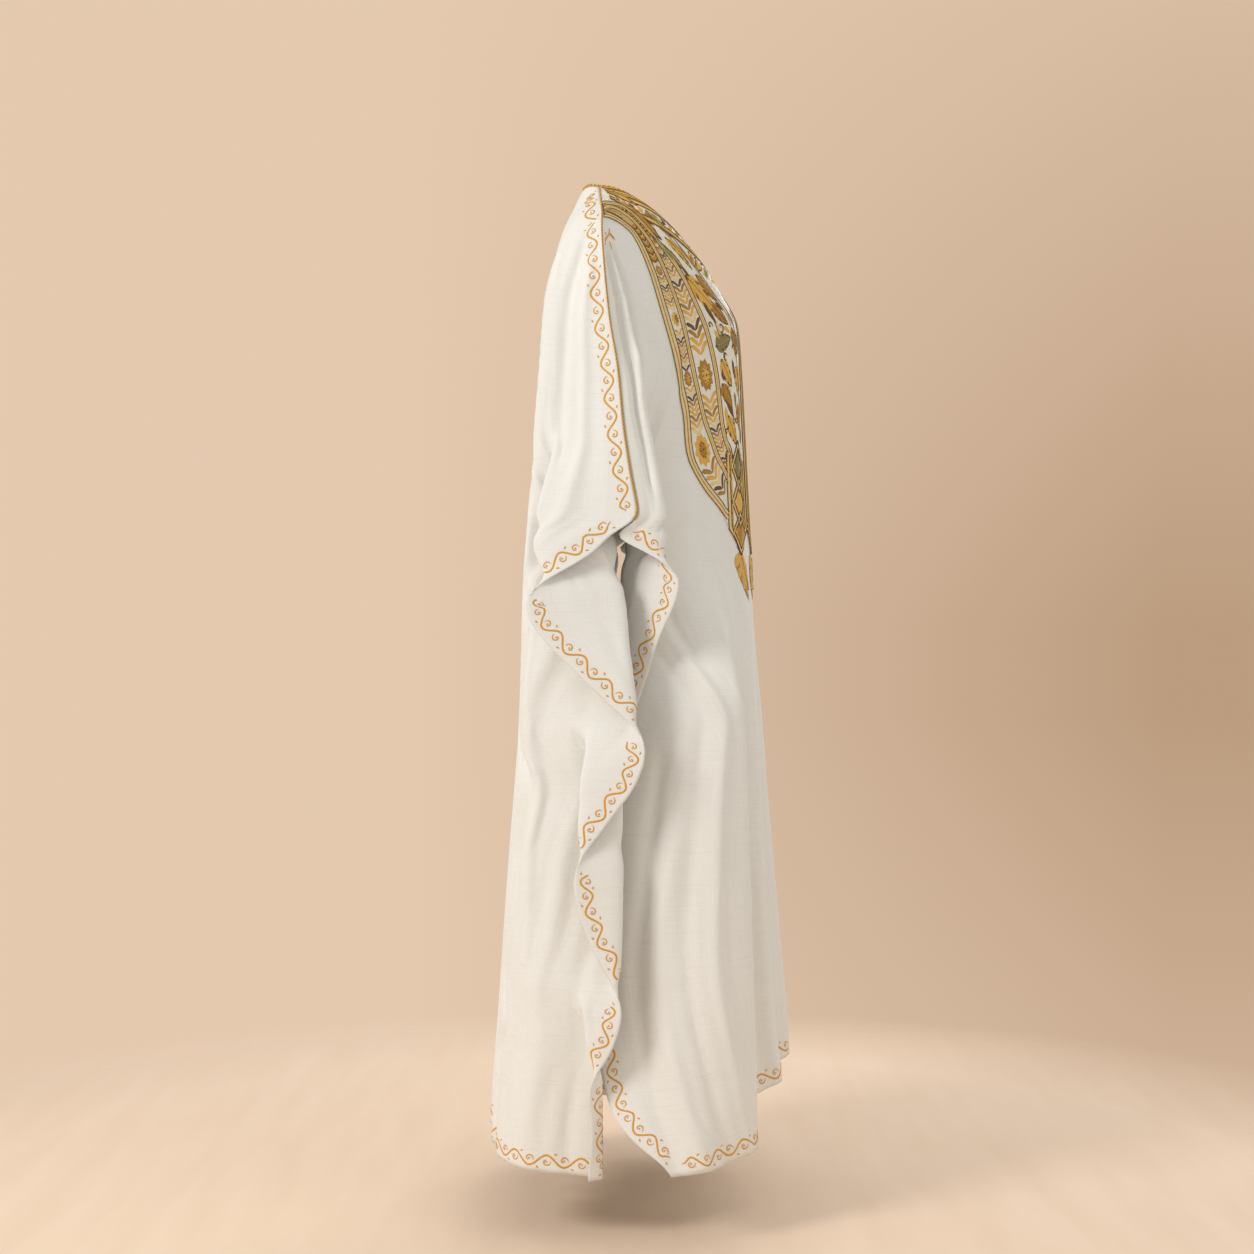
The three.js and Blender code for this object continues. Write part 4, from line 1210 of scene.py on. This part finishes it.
def lobed_leaf(bm, base, tip, width, thread, vein, outline="brown"):
    """A leaf with side lobes: one broad petal and shorter ones that lean off it in pairs."""
    base, tip = np.array(base, float), np.array(tip, float)
    axis = tip - base
    across = np.array((-axis[1], axis[0])) / np.linalg.norm(axis)
    stitched_petal(bm, base - axis * 0.05, tip + axis * 0.06, width * 0.98, outline, 0.8, 0.0010, 8, 4)
    stitched_petal(bm, base, tip, width * 0.80, thread, 0.8, 0.0015, 8, 4)
    for start, reach, lean in ((0.02, 0.34, 0.52), (0.22, 0.56, 0.50), (0.46, 0.80, 0.34)):
        for side in (-1, 1):
            end = base + axis * reach + across * side * lean * width
            stitched_petal(bm, base + axis * start, end, width * 0.34, thread, 0.9, 0.0012, 5, 2)
    stitched_line(bm, [base + axis * t for t in np.linspace(0.1, 0.82, 6)], 0.0010, vein, 0.0021)


def curl(bm, centre, radius, start, turn, thread, width=0.0030):
    stitched_line(bm, arc_path(centre, radius, start, turn, 12, radius * 0.3), width, thread, 0.0012, 0.15)


LEAVES = [  # base, tip, width, thread, vein: millimetres out from the middle and flat drop
    ((160, 14), (147, 52), 20, "gold", "brown"),
    ((172, 46), (154, 108), 27, "ochre", "gold"),
    ((138, 56), (126, 96), 21, "olive", "straw"),
    ((172, 112), (146, 140), 22, "olive", "straw"),
    ((142, 100), (122, 134), 20, "gold", "brown"),
    ((150, 148), (92, 186), 32, "gold", "ochre"),
    ((120, 140), (84, 166), 22, "ochre", "gold"),
    ((108, 174), (72, 200), 23, "ochre", "brown"),
    ((112, 236), (70, 218), 28, "olive", "straw"),
    ((100, 254), (72, 292), 25, "gold", "ochre"),
    ((98, 290), (72, 324), 24, "ochre", "gold"),
    ((62, 202), (46, 250), 23, "ochre", "brown"),
    ((54, 260), (46, 304), 22, "gold", "brown"),
    ((52, 316), (46, 356), 21, "ochre", "gold"),
    ((84, 336), (62, 378), 24, "gold", "ochre"),
]
PETALS = [  # base, tip, width, thread
    ((180, 92), (156, 118), 11, "brown"), ((150, 136), (136, 152), 9, "brown"),
    ((130, 172), (102, 204), 11, "brown"), ((120, 100), (108, 130), 11, "ochre"),
    ((108, 144), (98, 158), 9, "gold"), ((92, 168), (76, 180), 9, "brown"),
    ((64, 176), (50, 200), 12, "olive"), ((90, 310), (64, 342), 9, "brown"),
    ((90, 322), (86, 350), 10, "gold"), ((62, 298), (60, 324), 9, "olive"),
    ((68, 250), (60, 282), 10, "brown"), ((38, 204), (34, 244), 11, "olive"),
    ((38, 252), (34, 292), 11, "gold"), ((37, 300), (33, 338), 11, "ochre"),
    ((37, 346), (34, 376), 10, "brown"), ((114, 212), (98, 226), 9, "gold"),
    ((86, 382), (70, 402), 10, "brown"), ((170, 20), (163, 44), 9, "ochre"),
    ((160, 60), (146, 88), 8, "brown"),
    ((44, 168), (36, 196), 10, "ochre"), ((88, 204), (66, 212), 8, "gold"),
    ((104, 196), (96, 220), 8, "straw"), ((80, 292), (74, 300), 8, "straw"),
    ((50, 380), (44, 400), 9, "gold"), ((100, 270), (92, 286), 8, "brown"),
]
STEMS = [  # places that a stem runs through, width, thread
    ([(182, 58), (160, 112), (138, 152), (112, 192), (92, 240), (80, 290), (68, 340), (60, 392)],
     2.4, "brown"),
    ([(150, 60), (140, 84), (122, 112), (96, 150), (68, 186), (50, 240), (43, 300), (40, 372)], 2.2, "ochre"),
    ([(126, 84), (118, 104), (106, 126), (82, 160), (52, 190), (40, 230)], 2.0, "brown"),
]
CURLS = [  # centre, radius, start, turn
    ((94, 206), 9, 0.6, 5.2), ((87, 247), 7, 2.0, -4.8), ((122, 206), 6, 3.0, 4.8),
    ((60, 232), 6, 0.5, -4.4), ((84, 300), 5, 1.0, 4.6), ((60, 340), 5, 2.5, -4.4),
    ((132, 156), 5, 0.0, 4.6), ((88, 360), 5, 4.0, 4.4),
]


def field_side(side):
    bm = flat_work()

    def metres(place):
        return place[0] * MM, place[1] * MM

    for base, tip, width, thread, vein in LEAVES:
        lobed_leaf(bm, metres(base), metres(tip), width * MM, thread, vein)
    for base, tip, width, thread in PETALS:
        stitched_petal(bm, metres(base), metres(tip), width * MM, thread)
    for places, width, thread in STEMS:
        t = np.linspace(0, len(places) - 1, 6 * len(places))
        path = [np.interp(t, range(len(places)), [place[k] * MM for place in places]) for k in (0, 1)]
        stitched_line(bm, np.stack(path, 1), width * MM, thread, 0.0009, 0.05)
    for centre, radius, start, turn in CURLS:
        curl(bm, metres(centre), radius * MM, start, turn, "brown")
        stitched_dot(bm, metres(centre), 0.0018, "gold")
    lay(bm, field_map(side), GROUND_LIFT)
    return bm


# %% Neck stripes
NECK_BAND = 0.092
NECK_STRIPES = [(0.0016, 0.0030, "gold"), (0.0042, 0.0020, "brown"), (0.0067, 0.0030, "ochre"),
                (0.0093, 0.0020, "straw"), (0.0115, 0.0022, "olive"), (0.0140, 0.0026, "gold"),
                (0.0163, 0.0018, "brown"), (0.0188, 0.0030, "ochre"), (0.0216, 0.0024, "straw"),
                (0.0241, 0.0024, "gold"), (0.0262, 0.0016, "brown"), (0.0440, 0.0016, "brown"),
                (0.0463, 0.0028, "gold"), (0.0490, 0.0022, "straw"), (0.0513, 0.0022, "ochre"),
                (0.0532, 0.0014, "brown")]
NECK_LEAF_STEP = 0.0125
COLLAR_LEAVES = 4
COLLAR_STEP = 0.0108
neck_shares = np.linspace(-1, 1, 260) * FRONT["neck_share"]
neck_strip = walk_inwards(front_cloth, np.zeros(260), HALF_CELLS * (1 + neck_shares), NECK_BAND,
                          NECK_BAND / 60, -1)
bib_layers.append(draw_lines(neck_strip, NECK_STRIPES, 0.0014))


def neck_leaves(strip):
    """A row of pairs of leaves between the neck's stripes, pointing down from both shoulders."""
    bm = flat_work()
    length = float(strip["along"][-1])
    count = int(length / 2 / NECK_LEAF_STEP)
    for k in range(count):
        for side in (-1, 1):
            x = length / 2 + side * (k + 0.35) * NECK_LEAF_STEP
            thread = ("gold", "ochre", "gold", "brown")[k % 4]
            for y, reach in ((0.0365, -0.0075), (0.0340, 0.0075)):
                base = (x - side * 0.002, y)
                stitched_petal(bm, base, (x + side * 0.009, y + reach), 0.0062, thread, 0.9, 0.0013, 5, 2)
    stitched_dot(bm, (length / 2, 0.0352), 0.0040, "gold", 0.0018)
    for k in range(1, COLLAR_LEAVES + 1):
        for side in (-1, 1):
            x = length / 2 + side * (k + 0.4) * COLLAR_STEP
            reach = 0.012 + 0.016 * (1 - (k / (COLLAR_LEAVES + 1)) ** 3)
            thread, outline = (("gold", "brown"), ("ochre", "gold"), ("olive", "straw"))[k % 3]
            tip = (x + side * 0.003, 0.0575 + reach)
            stitched_petal(bm, (x, 0.0565), (tip[0], tip[1] + 0.0015), 0.0135, outline, 0.85, 0.0010, 7, 4)
            stitched_petal(bm, (x, 0.0575), tip, 0.0105, thread, 0.85, 0.0015, 7, 4)
            stitched_dot(bm, (x + side * COLLAR_STEP / 2, 0.0590), 0.0021, "brown", 0.0014)
            stitched_dot(bm, (x + side * COLLAR_STEP / 2, 0.0590 + reach * 0.75), 0.0017, "gold", 0.0012)
    lay(bm, strip, GROUND_LIFT)
    return bm


bib_layers.append(neck_leaves(neck_strip))

# %% The column of stripes and lozenges on each side of the middle
COLUMN_CENTRE = 0.058
COLUMN_STRIPES = [(0.0018, "ochre"), (0.0056, "brown"), (0.0096, "gold"), (0.0138, "ochre"),
                  (0.0176, "brown"), (0.0214, "straw"), (0.0252, "brown")]
LOZENGES = [(410, 17, 32, "olive"), (463, 18, 32, "gold"), (508, 17, 27, "ochre")]


def lozenge(bm, centre, half_width, half_height, width, thread, height):
    corners = [(0, -1), (1, 0), (0, 1), (-1, 0), (0, -1)]
    path = []
    for first, last in zip(corners[:-1], corners[1:]):
        for t in np.linspace(0, 1, 7)[:-1]:
            path.append((centre[0] + half_width * mix(first[0], last[0], t),
                         centre[1] + half_height * mix(first[1], last[1], t)))
    stitched_line(bm, path + path[:1], width, thread, height)


def in_small_steps(path, steps=8):
    """A path with more points between its corners, up to but without the last corner."""
    shares = np.linspace(0, 1, steps + 1)[:-1]
    return [mix(np.array(a), np.array(b), t) for a, b in zip(path[:-1], path[1:]) for t in shares]


COLUMN_CORNER = 0.503  # flat drop in metres where a column starts to taper to its point
COLUMN_POINT = 0.541  # flat drop of a side column's point


def column_side(side):
    bm = flat_work()
    for x, thread in COLUMN_STRIPES:
        down = np.linspace(0.104, 0.505 + 0.034 * (1 - x / 0.0265), 60)
        stitched_line(bm, np.stack([np.full(60, x), down], 1), 0.0034, thread, 0.0013, 0.05)
    for middle, half_width, half_height, fill in LOZENGES:
        centre = (COLUMN_CENTRE, middle * MM)
        half_width, half_height = half_width * MM, half_height * MM
        top = (centre[0], centre[1] - half_height * 0.8)
        bottom = (centre[0], centre[1] + half_height * 0.8)
        stitched_petal(bm, top, bottom, half_width * 1.25, fill, 1.0, 0.0016, 8, 4)
        lozenge(bm, centre, half_width * 0.86, half_height * 0.88, 0.0016, "brown", 0.0016)
        lozenge(bm, centre, half_width * 1.04, half_height * 1.05, 0.0032, "straw", 0.0015)
        lozenge(bm, centre, half_width * 1.24, half_height * 1.24, 0.0018, "brown", 0.0016)
    for k in range(15):
        down = (388 + 8.0 * k) * MM
        for x, lean in ((0.034, 0.006), (0.083, -0.006)):
            stitched_petal(bm, (x, down), (x + lean, down + 0.006), 0.0046, ("gold", "ochre")[k % 2],
                           0.9, 0.0012, 3, 2)
    for inset_by, width, thread in ((0.0, 0.0018, "brown"), (0.0036, 0.0044, "straw"),
                                    (0.0068, 0.0016, "brown"), (0.0102, 0.0036, "gold")):
        outer, inner = 0.0885 - inset_by, 0.0275 + inset_by
        corner = COLUMN_CORNER - inset_by * 0.3
        point = COLUMN_POINT - inset_by * 1.2
        path = [(outer, 0.392), (outer, 0.45), (outer, 0.496), (outer - 0.002, corner),
                (COLUMN_CENTRE, point), (inner + 0.002, corner),
                (inner, 0.496), (inner, 0.45), (inner, 0.392)]
        stitched_line(bm, in_small_steps(path), width, thread, 0.0015)
    for inset_by in (0.0145, 0.0185, 0.0225):
        reach = 0.032 - inset_by
        tip = COLUMN_POINT - inset_by * 1.3
        path = [(COLUMN_CENTRE + reach * t, tip - abs(t) * reach * 1.2) for t in np.linspace(-1, 1, 13)]
        stitched_line(bm, path, 0.0028, "gold", 0.0012)
    for inset_by, width, thread in ((0.0, 0.0018, "brown"), (0.0034, 0.0040, "straw"),
                                    (0.0066, 0.0016, "brown"), (0.0108, 0.0056, "gold"),
                                    (0.0160, 0.0040, "ochre")):
        path = [(0.0265, COLUMN_CORNER - inset_by * 1.2), (0.0, 0.538 - inset_by * 1.2)]
        fine = [mix(np.array(path[0]), np.array(path[1]), t) for t in np.linspace(0, 1, 9)]
        stitched_line(bm, fine, width, thread, 0.0019)
    lay(bm, field_map(side), GROUND_LIFT)
    return bm


for side in (-1, 1):
    bib_layers.append(field_side(side))
    bib_layers.append(column_side(side))

# %% [markdown]
# ## The leaves under the points
# A lobed leaf hangs below each point and one larger leaf below the middle. Each is padded satin
# stitch: one broad petal, three pairs of lobes, and pale stitches that part the lobes.

# %% The leaves
def hanging_leaf(bm, x, top, bottom, width):
    lobed_leaf(bm, (x, top), (x, bottom), width, "gold", "ochre", "ochre")
    for start, end in ((0.20, 0.42), (0.42, 0.62), (0.62, 0.80)):
        for side in (-1, 1):
            first = (x + side * width * 0.12, mix(top, bottom, start))
            last = (x + side * width * 0.36, mix(top, bottom, end))
            stitched_line(bm, [mix(np.array(first), np.array(last), t) for t in (0, 0.3, 0.6, 1)],
                          0.0011, "straw", 0.0025)


for side in (-1, 1):
    bm = flat_work()
    hanging_leaf(bm, COLUMN_CENTRE, 0.537, 0.606, 0.044)
    lay(bm, field_map(side), 0.0006)
    bib_layers.append(bm)
bib_embroidery = sew_on("bib_embroidery", bib_layers)
print("breast piece embroidery:", sum(len(p.vertices) - 2 for p in bib_embroidery.data.polygons), "triangles")

leaf_layers = []
for side in (-1, 1):
    bm = flat_work()
    hanging_leaf(bm, 0.0, 0.537, 0.604, 0.044)
    outside = [vert for vert in bm.verts if vert.co.x < -1e-5]
    bmesh.ops.delete(bm, geom=outside, context="VERTS")
    lay(bm, field_map(side), 0.0009)
    leaf_layers.append(bm)
leaf = sew_on("leaf_drop", leaf_layers)

# %% [markdown]
# ## Twisted cords
# A thin cord covers each seam, and one more binds the neck. A cord is two strands that wind round
# each other, so a plain tube would not show its turns. Each strand is a grid rolled into a tube
# along a helix.

# %% Cords along the seams and round the neck
def helix(path, normals, radius, pitch, turn):
    """A line that winds round a path, with directions for rolling a tube along it."""
    along = unit(np.gradient(path, axis=0))
    up = unit(normals - along * (normals * along).sum(1, keepdims=True))
    across = np.cross(along, up)
    lengths = np.concatenate([[0], np.cumsum(np.linalg.norm(np.diff(path, axis=0), axis=1))])
    angle = 2 * np.pi * lengths / pitch + turn
    around = up * np.cos(angle)[:, None] + across * np.sin(angle)[:, None]
    return path + radius * around, up, across, lengths


def strand(bm, path, normals, radius, strand_radius, pitch, turn, thread, sides=6):
    line, up, across, lengths = helix(path, normals, radius, pitch, turn)
    cells = len(line) - 1
    uv = bm.loops.layers.uv.active
    made = bmesh.ops.create_grid(bm, x_segments=cells, y_segments=sides, size=1)
    for vert in made["verts"]:
        i = round((vert.co.x + 1) / 2 * cells)
        angle = math.pi * vert.co.y
        for loop in vert.link_loops:
            loop[uv].uv = (lengths[i], vert.co.y * 0.002)
            loop.face.material_index = THREAD_ORDER.index(thread)
            loop.face.smooth = True
        vert.co = line[i] + strand_radius * (up[i] * math.cos(angle) + across[i] * math.sin(angle))
    bmesh.ops.remove_doubles(bm, verts=made["verts"], dist=1e-6)


def even_path(points, normals, spacing):
    lengths = np.concatenate([[0], np.cumsum(np.linalg.norm(np.diff(points, axis=0), axis=1))])
    at = np.linspace(0, lengths[-1], int(lengths[-1] / spacing))
    pick = lambda table: np.stack([np.interp(at, lengths, table[:, k]) for k in range(3)], 1)
    return pick(points), unit(pick(normals))


def twisted_cord(name, points, normals, radius, pitch, threads):
    path, ups = even_path(points, normals, pitch / 8)
    bm = flat_work()
    for turn, thread in zip((0, math.pi), threads):
        strand(bm, path, ups, radius * 0.5, radius * 0.56, pitch, turn, thread)
    bmesh.ops.recalc_face_normals(bm, faces=bm.faces)
    return sew_on(name, [bm])


def seam_path(side):
    """Along the edge of the back cloth, from beside the neck to the wrist."""
    edge = 0 if side < 0 else LAST_COLUMN
    first = round(HALF_CELLS * (1 + side * (BACK["neck_share"] + 0.035)))
    step = -1 if side < 0 else 1
    wrist = round(row_at(back_cloth, WRIST_DROP))
    top = back_cloth["points"][0, first:edge + step if edge else None:step]
    down = back_cloth["points"][1:wrist + 1, edge]
    points = np.concatenate([top, down])
    along = unit(np.gradient(points, axis=0))
    normals = np.stack([side * np.abs(along[:, 2]), np.zeros(len(along)), np.abs(along[:, 0])], 1)
    return points, unit(normals)


cords = {}
for side, name in ((-1, "seam_cord_right"), (1, "seam_cord_left")):
    points, normals = seam_path(side)
    cords[name] = twisted_cord(name.replace("cord", "twist"), points + normals * 0.0013, normals,
                               0.0014, 0.0052, ("ochre", "gold"))

# the neck opening: the front's top row, then the back's
neck_columns = round(HALF_CELLS * FRONT["neck_share"])
back_columns = round(HALF_CELLS * BACK["neck_share"])
front_neck = front_cloth["points"][0, HALF_CELLS - neck_columns:HALF_CELLS + neck_columns + 1]
back_neck = back_cloth["points"][0, HALF_CELLS - back_columns:HALF_CELLS + back_columns + 1][::-1]
neck_line = np.concatenate([front_neck, back_neck[1:-1], front_neck[:1]])
centre = neck_line.mean(0)
neck_up = unit((centre - neck_line) * (1, 1, 0) + np.array((0, 0, 0.05)))
neck_twist = twisted_cord("neck_twist", neck_line + np.array((0, 0, 0.0012)) + neck_up * 0.0008, neck_up,
                          0.0021, 0.0075, ("gold", "ochre"))

PIECES = [(back_piece, ["back_panel"], "linen"), (front_piece, ["front_panel"], "linen"),
          (back_border, ["back_panel"], "linen"), (front_border, ["front_panel"], "linen"),
          (bib_piece, ["bib"], "gold_embroidery"), (bib_embroidery, ["bib"], "gold_embroidery"),
          (leaf, ["bib_leaf"], "gold_embroidery"),
          (cords["seam_cord_right"], ["seam_cord_right"], "gold_cord"),
          (cords["seam_cord_left"], ["seam_cord_left"], "gold_cord"),
          (neck_twist, ["neck_binding"], "gold_cord")]

# %% [markdown]
# ## Floor, light and camera
# The kaftan hangs clear of the floor, as it does on a stand. A plain pale floor and a pale warm
# room keep the eye on the cloth. One large soft light stands beside the camera towards the back,
# a weaker one towards the front, and the far side gets its own so that every view is lit.

# %% Floor and room
FLOOR_Z = -1.502
FLOOR_CLEAR = (1.05, 1.55)  # the floor fades into the room between these distances

bm = bmesh.new()
bmesh.ops.create_circle(bm, cap_ends=True, segments=96, radius=1.6)
bmesh.ops.translate(bm, vec=(0, 0, FLOOR_Z), verts=bm.verts)
floor = new_piece("floor", bm)
floor_material, floor_tree, floor_shader = new_material("pale floor")
coordinates = floor_tree.nodes.new("ShaderNodeTexCoord").outputs["Object"]
grain = noise(floor_tree, stretched(floor_tree, coordinates, (1.2, 9, 1)), 2.0, 4.0)
floor_colour = blend_colours(floor_tree, ramp(floor_tree, grain, 0.3, 0.7),
                             (0.84, 0.65, 0.49, 1), (0.88, 0.69, 0.53, 1))
distance = floor_tree.nodes.new("ShaderNodeVectorMath")
distance.operation = "LENGTH"
link(floor_tree, stretched(floor_tree, coordinates, (1, 1, 0)), distance.inputs[0])
link(floor_tree, floor_colour, floor_shader.inputs["Base Color"])
link(floor_tree, ramp(floor_tree, distance.outputs["Value"], FLOOR_CLEAR[1], FLOOR_CLEAR[0]),
     floor_shader.inputs["Alpha"])
floor_shader.inputs["Roughness"].default_value = 0.8
floor.data.materials.append(floor_material)
floor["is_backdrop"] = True

# the room as it looks, and the light that it gives, are two colours of the same world
ROOM_COLOUR = (0.775, 0.585, 0.43, 1)
ROOM_SHADE = (0.50, 0.335, 0.215, 1)  # the wall's shaded part, in front of the kaftan
ROOM_LIGHT = (0.60, 0.575, 0.54, 1)
world = bpy.data.worlds.new("room")
world.use_nodes = True
room = world.node_tree
seen = room.nodes["Background"]
parts = room.nodes.new("ShaderNodeSeparateXYZ")
link(room, room.nodes.new("ShaderNodeTexCoord").outputs["Generated"], parts.inputs[0])
sideways = ramp(room, parts.outputs["Y"], 0.10, -0.24)
level = maths(room, "ABSOLUTE", maths(room, "ADD", parts.outputs["Z"], 0.02), 0.0)
shaded = maths(room, "MULTIPLY", sideways, ramp(room, level, 0.42, 0.02))
link(room, blend_colours(room, shaded, ROOM_COLOUR, ROOM_SHADE), seen.inputs["Color"])
lit = room.nodes.new("ShaderNodeBackground")
lit.inputs["Color"].default_value = ROOM_LIGHT
choice = room.nodes.new("ShaderNodeMixShader")
link(room, room.nodes.new("ShaderNodeLightPath").outputs["Is Camera Ray"], choice.inputs[0])
link(room, lit.outputs[0], choice.inputs[1])
link(room, seen.outputs[0], choice.inputs[2])
link(room, choice.outputs[0], room.nodes["World Output"].inputs["Surface"])
bpy.context.scene.world = world
bpy.context.scene.view_settings.view_transform = "Standard"


# %% Soft lights
def soft_light(name, place, aim, size, watts, colour=(1, 0.98, 0.955)):
    data = bpy.data.lights.new(name, "AREA")
    data.shape = "DISK"
    data.size = size
    data.energy = watts
    data.color = colour
    lamp = bpy.data.objects.new(name, data)
    bpy.context.collection.objects.link(lamp)
    direction = np.array(aim, float) - np.array(place, float)
    lamp.location = place
    lamp.rotation_euler = (math.atan2(math.hypot(direction[0], direction[1]), -direction[2]), 0,
                           math.atan2(direction[1], direction[0]) - math.pi / 2)
    print(name, watts, "W")


MIDDLE = (0, 0, -0.7)
soft_light("key", (-2.4, 2.9, 1.3), MIDDLE, 1.5, 84)
soft_light("front fill", (-2.0, -3.0, 0.8), MIDDLE, 2.4, 14)
soft_light("far side", (3.0, -1.0, 1.2), MIDDLE, 2.4, 40)

# %% Camera
camera_data = bpy.data.cameras.new("camera")
camera_data.lens = 62.67
camera_data.sensor_width = 36
camera = bpy.data.objects.new("camera", camera_data)
camera.location = (-3.3, 0, -0.648)
camera.rotation_euler = (math.pi / 2, 0, -math.pi / 2)
bpy.context.collection.objects.link(camera)
bpy.context.scene.camera = camera

# %% [markdown]
# ## What each piece stands for
# Every piece rides on the one body and hides the soft solid that it replaces.

# %% Riding and replacing
for piece, node, name in PIECES:
    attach(piece, "root")
    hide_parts(*node)

# %% Sizes for comparison, and the end
low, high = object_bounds()
{"cad": [list(cad_low), list(cad_high)], "visual": [list(low), list(high)]}
print("visual box in metres:", [round(v, 3) for v in (*low, *high)])
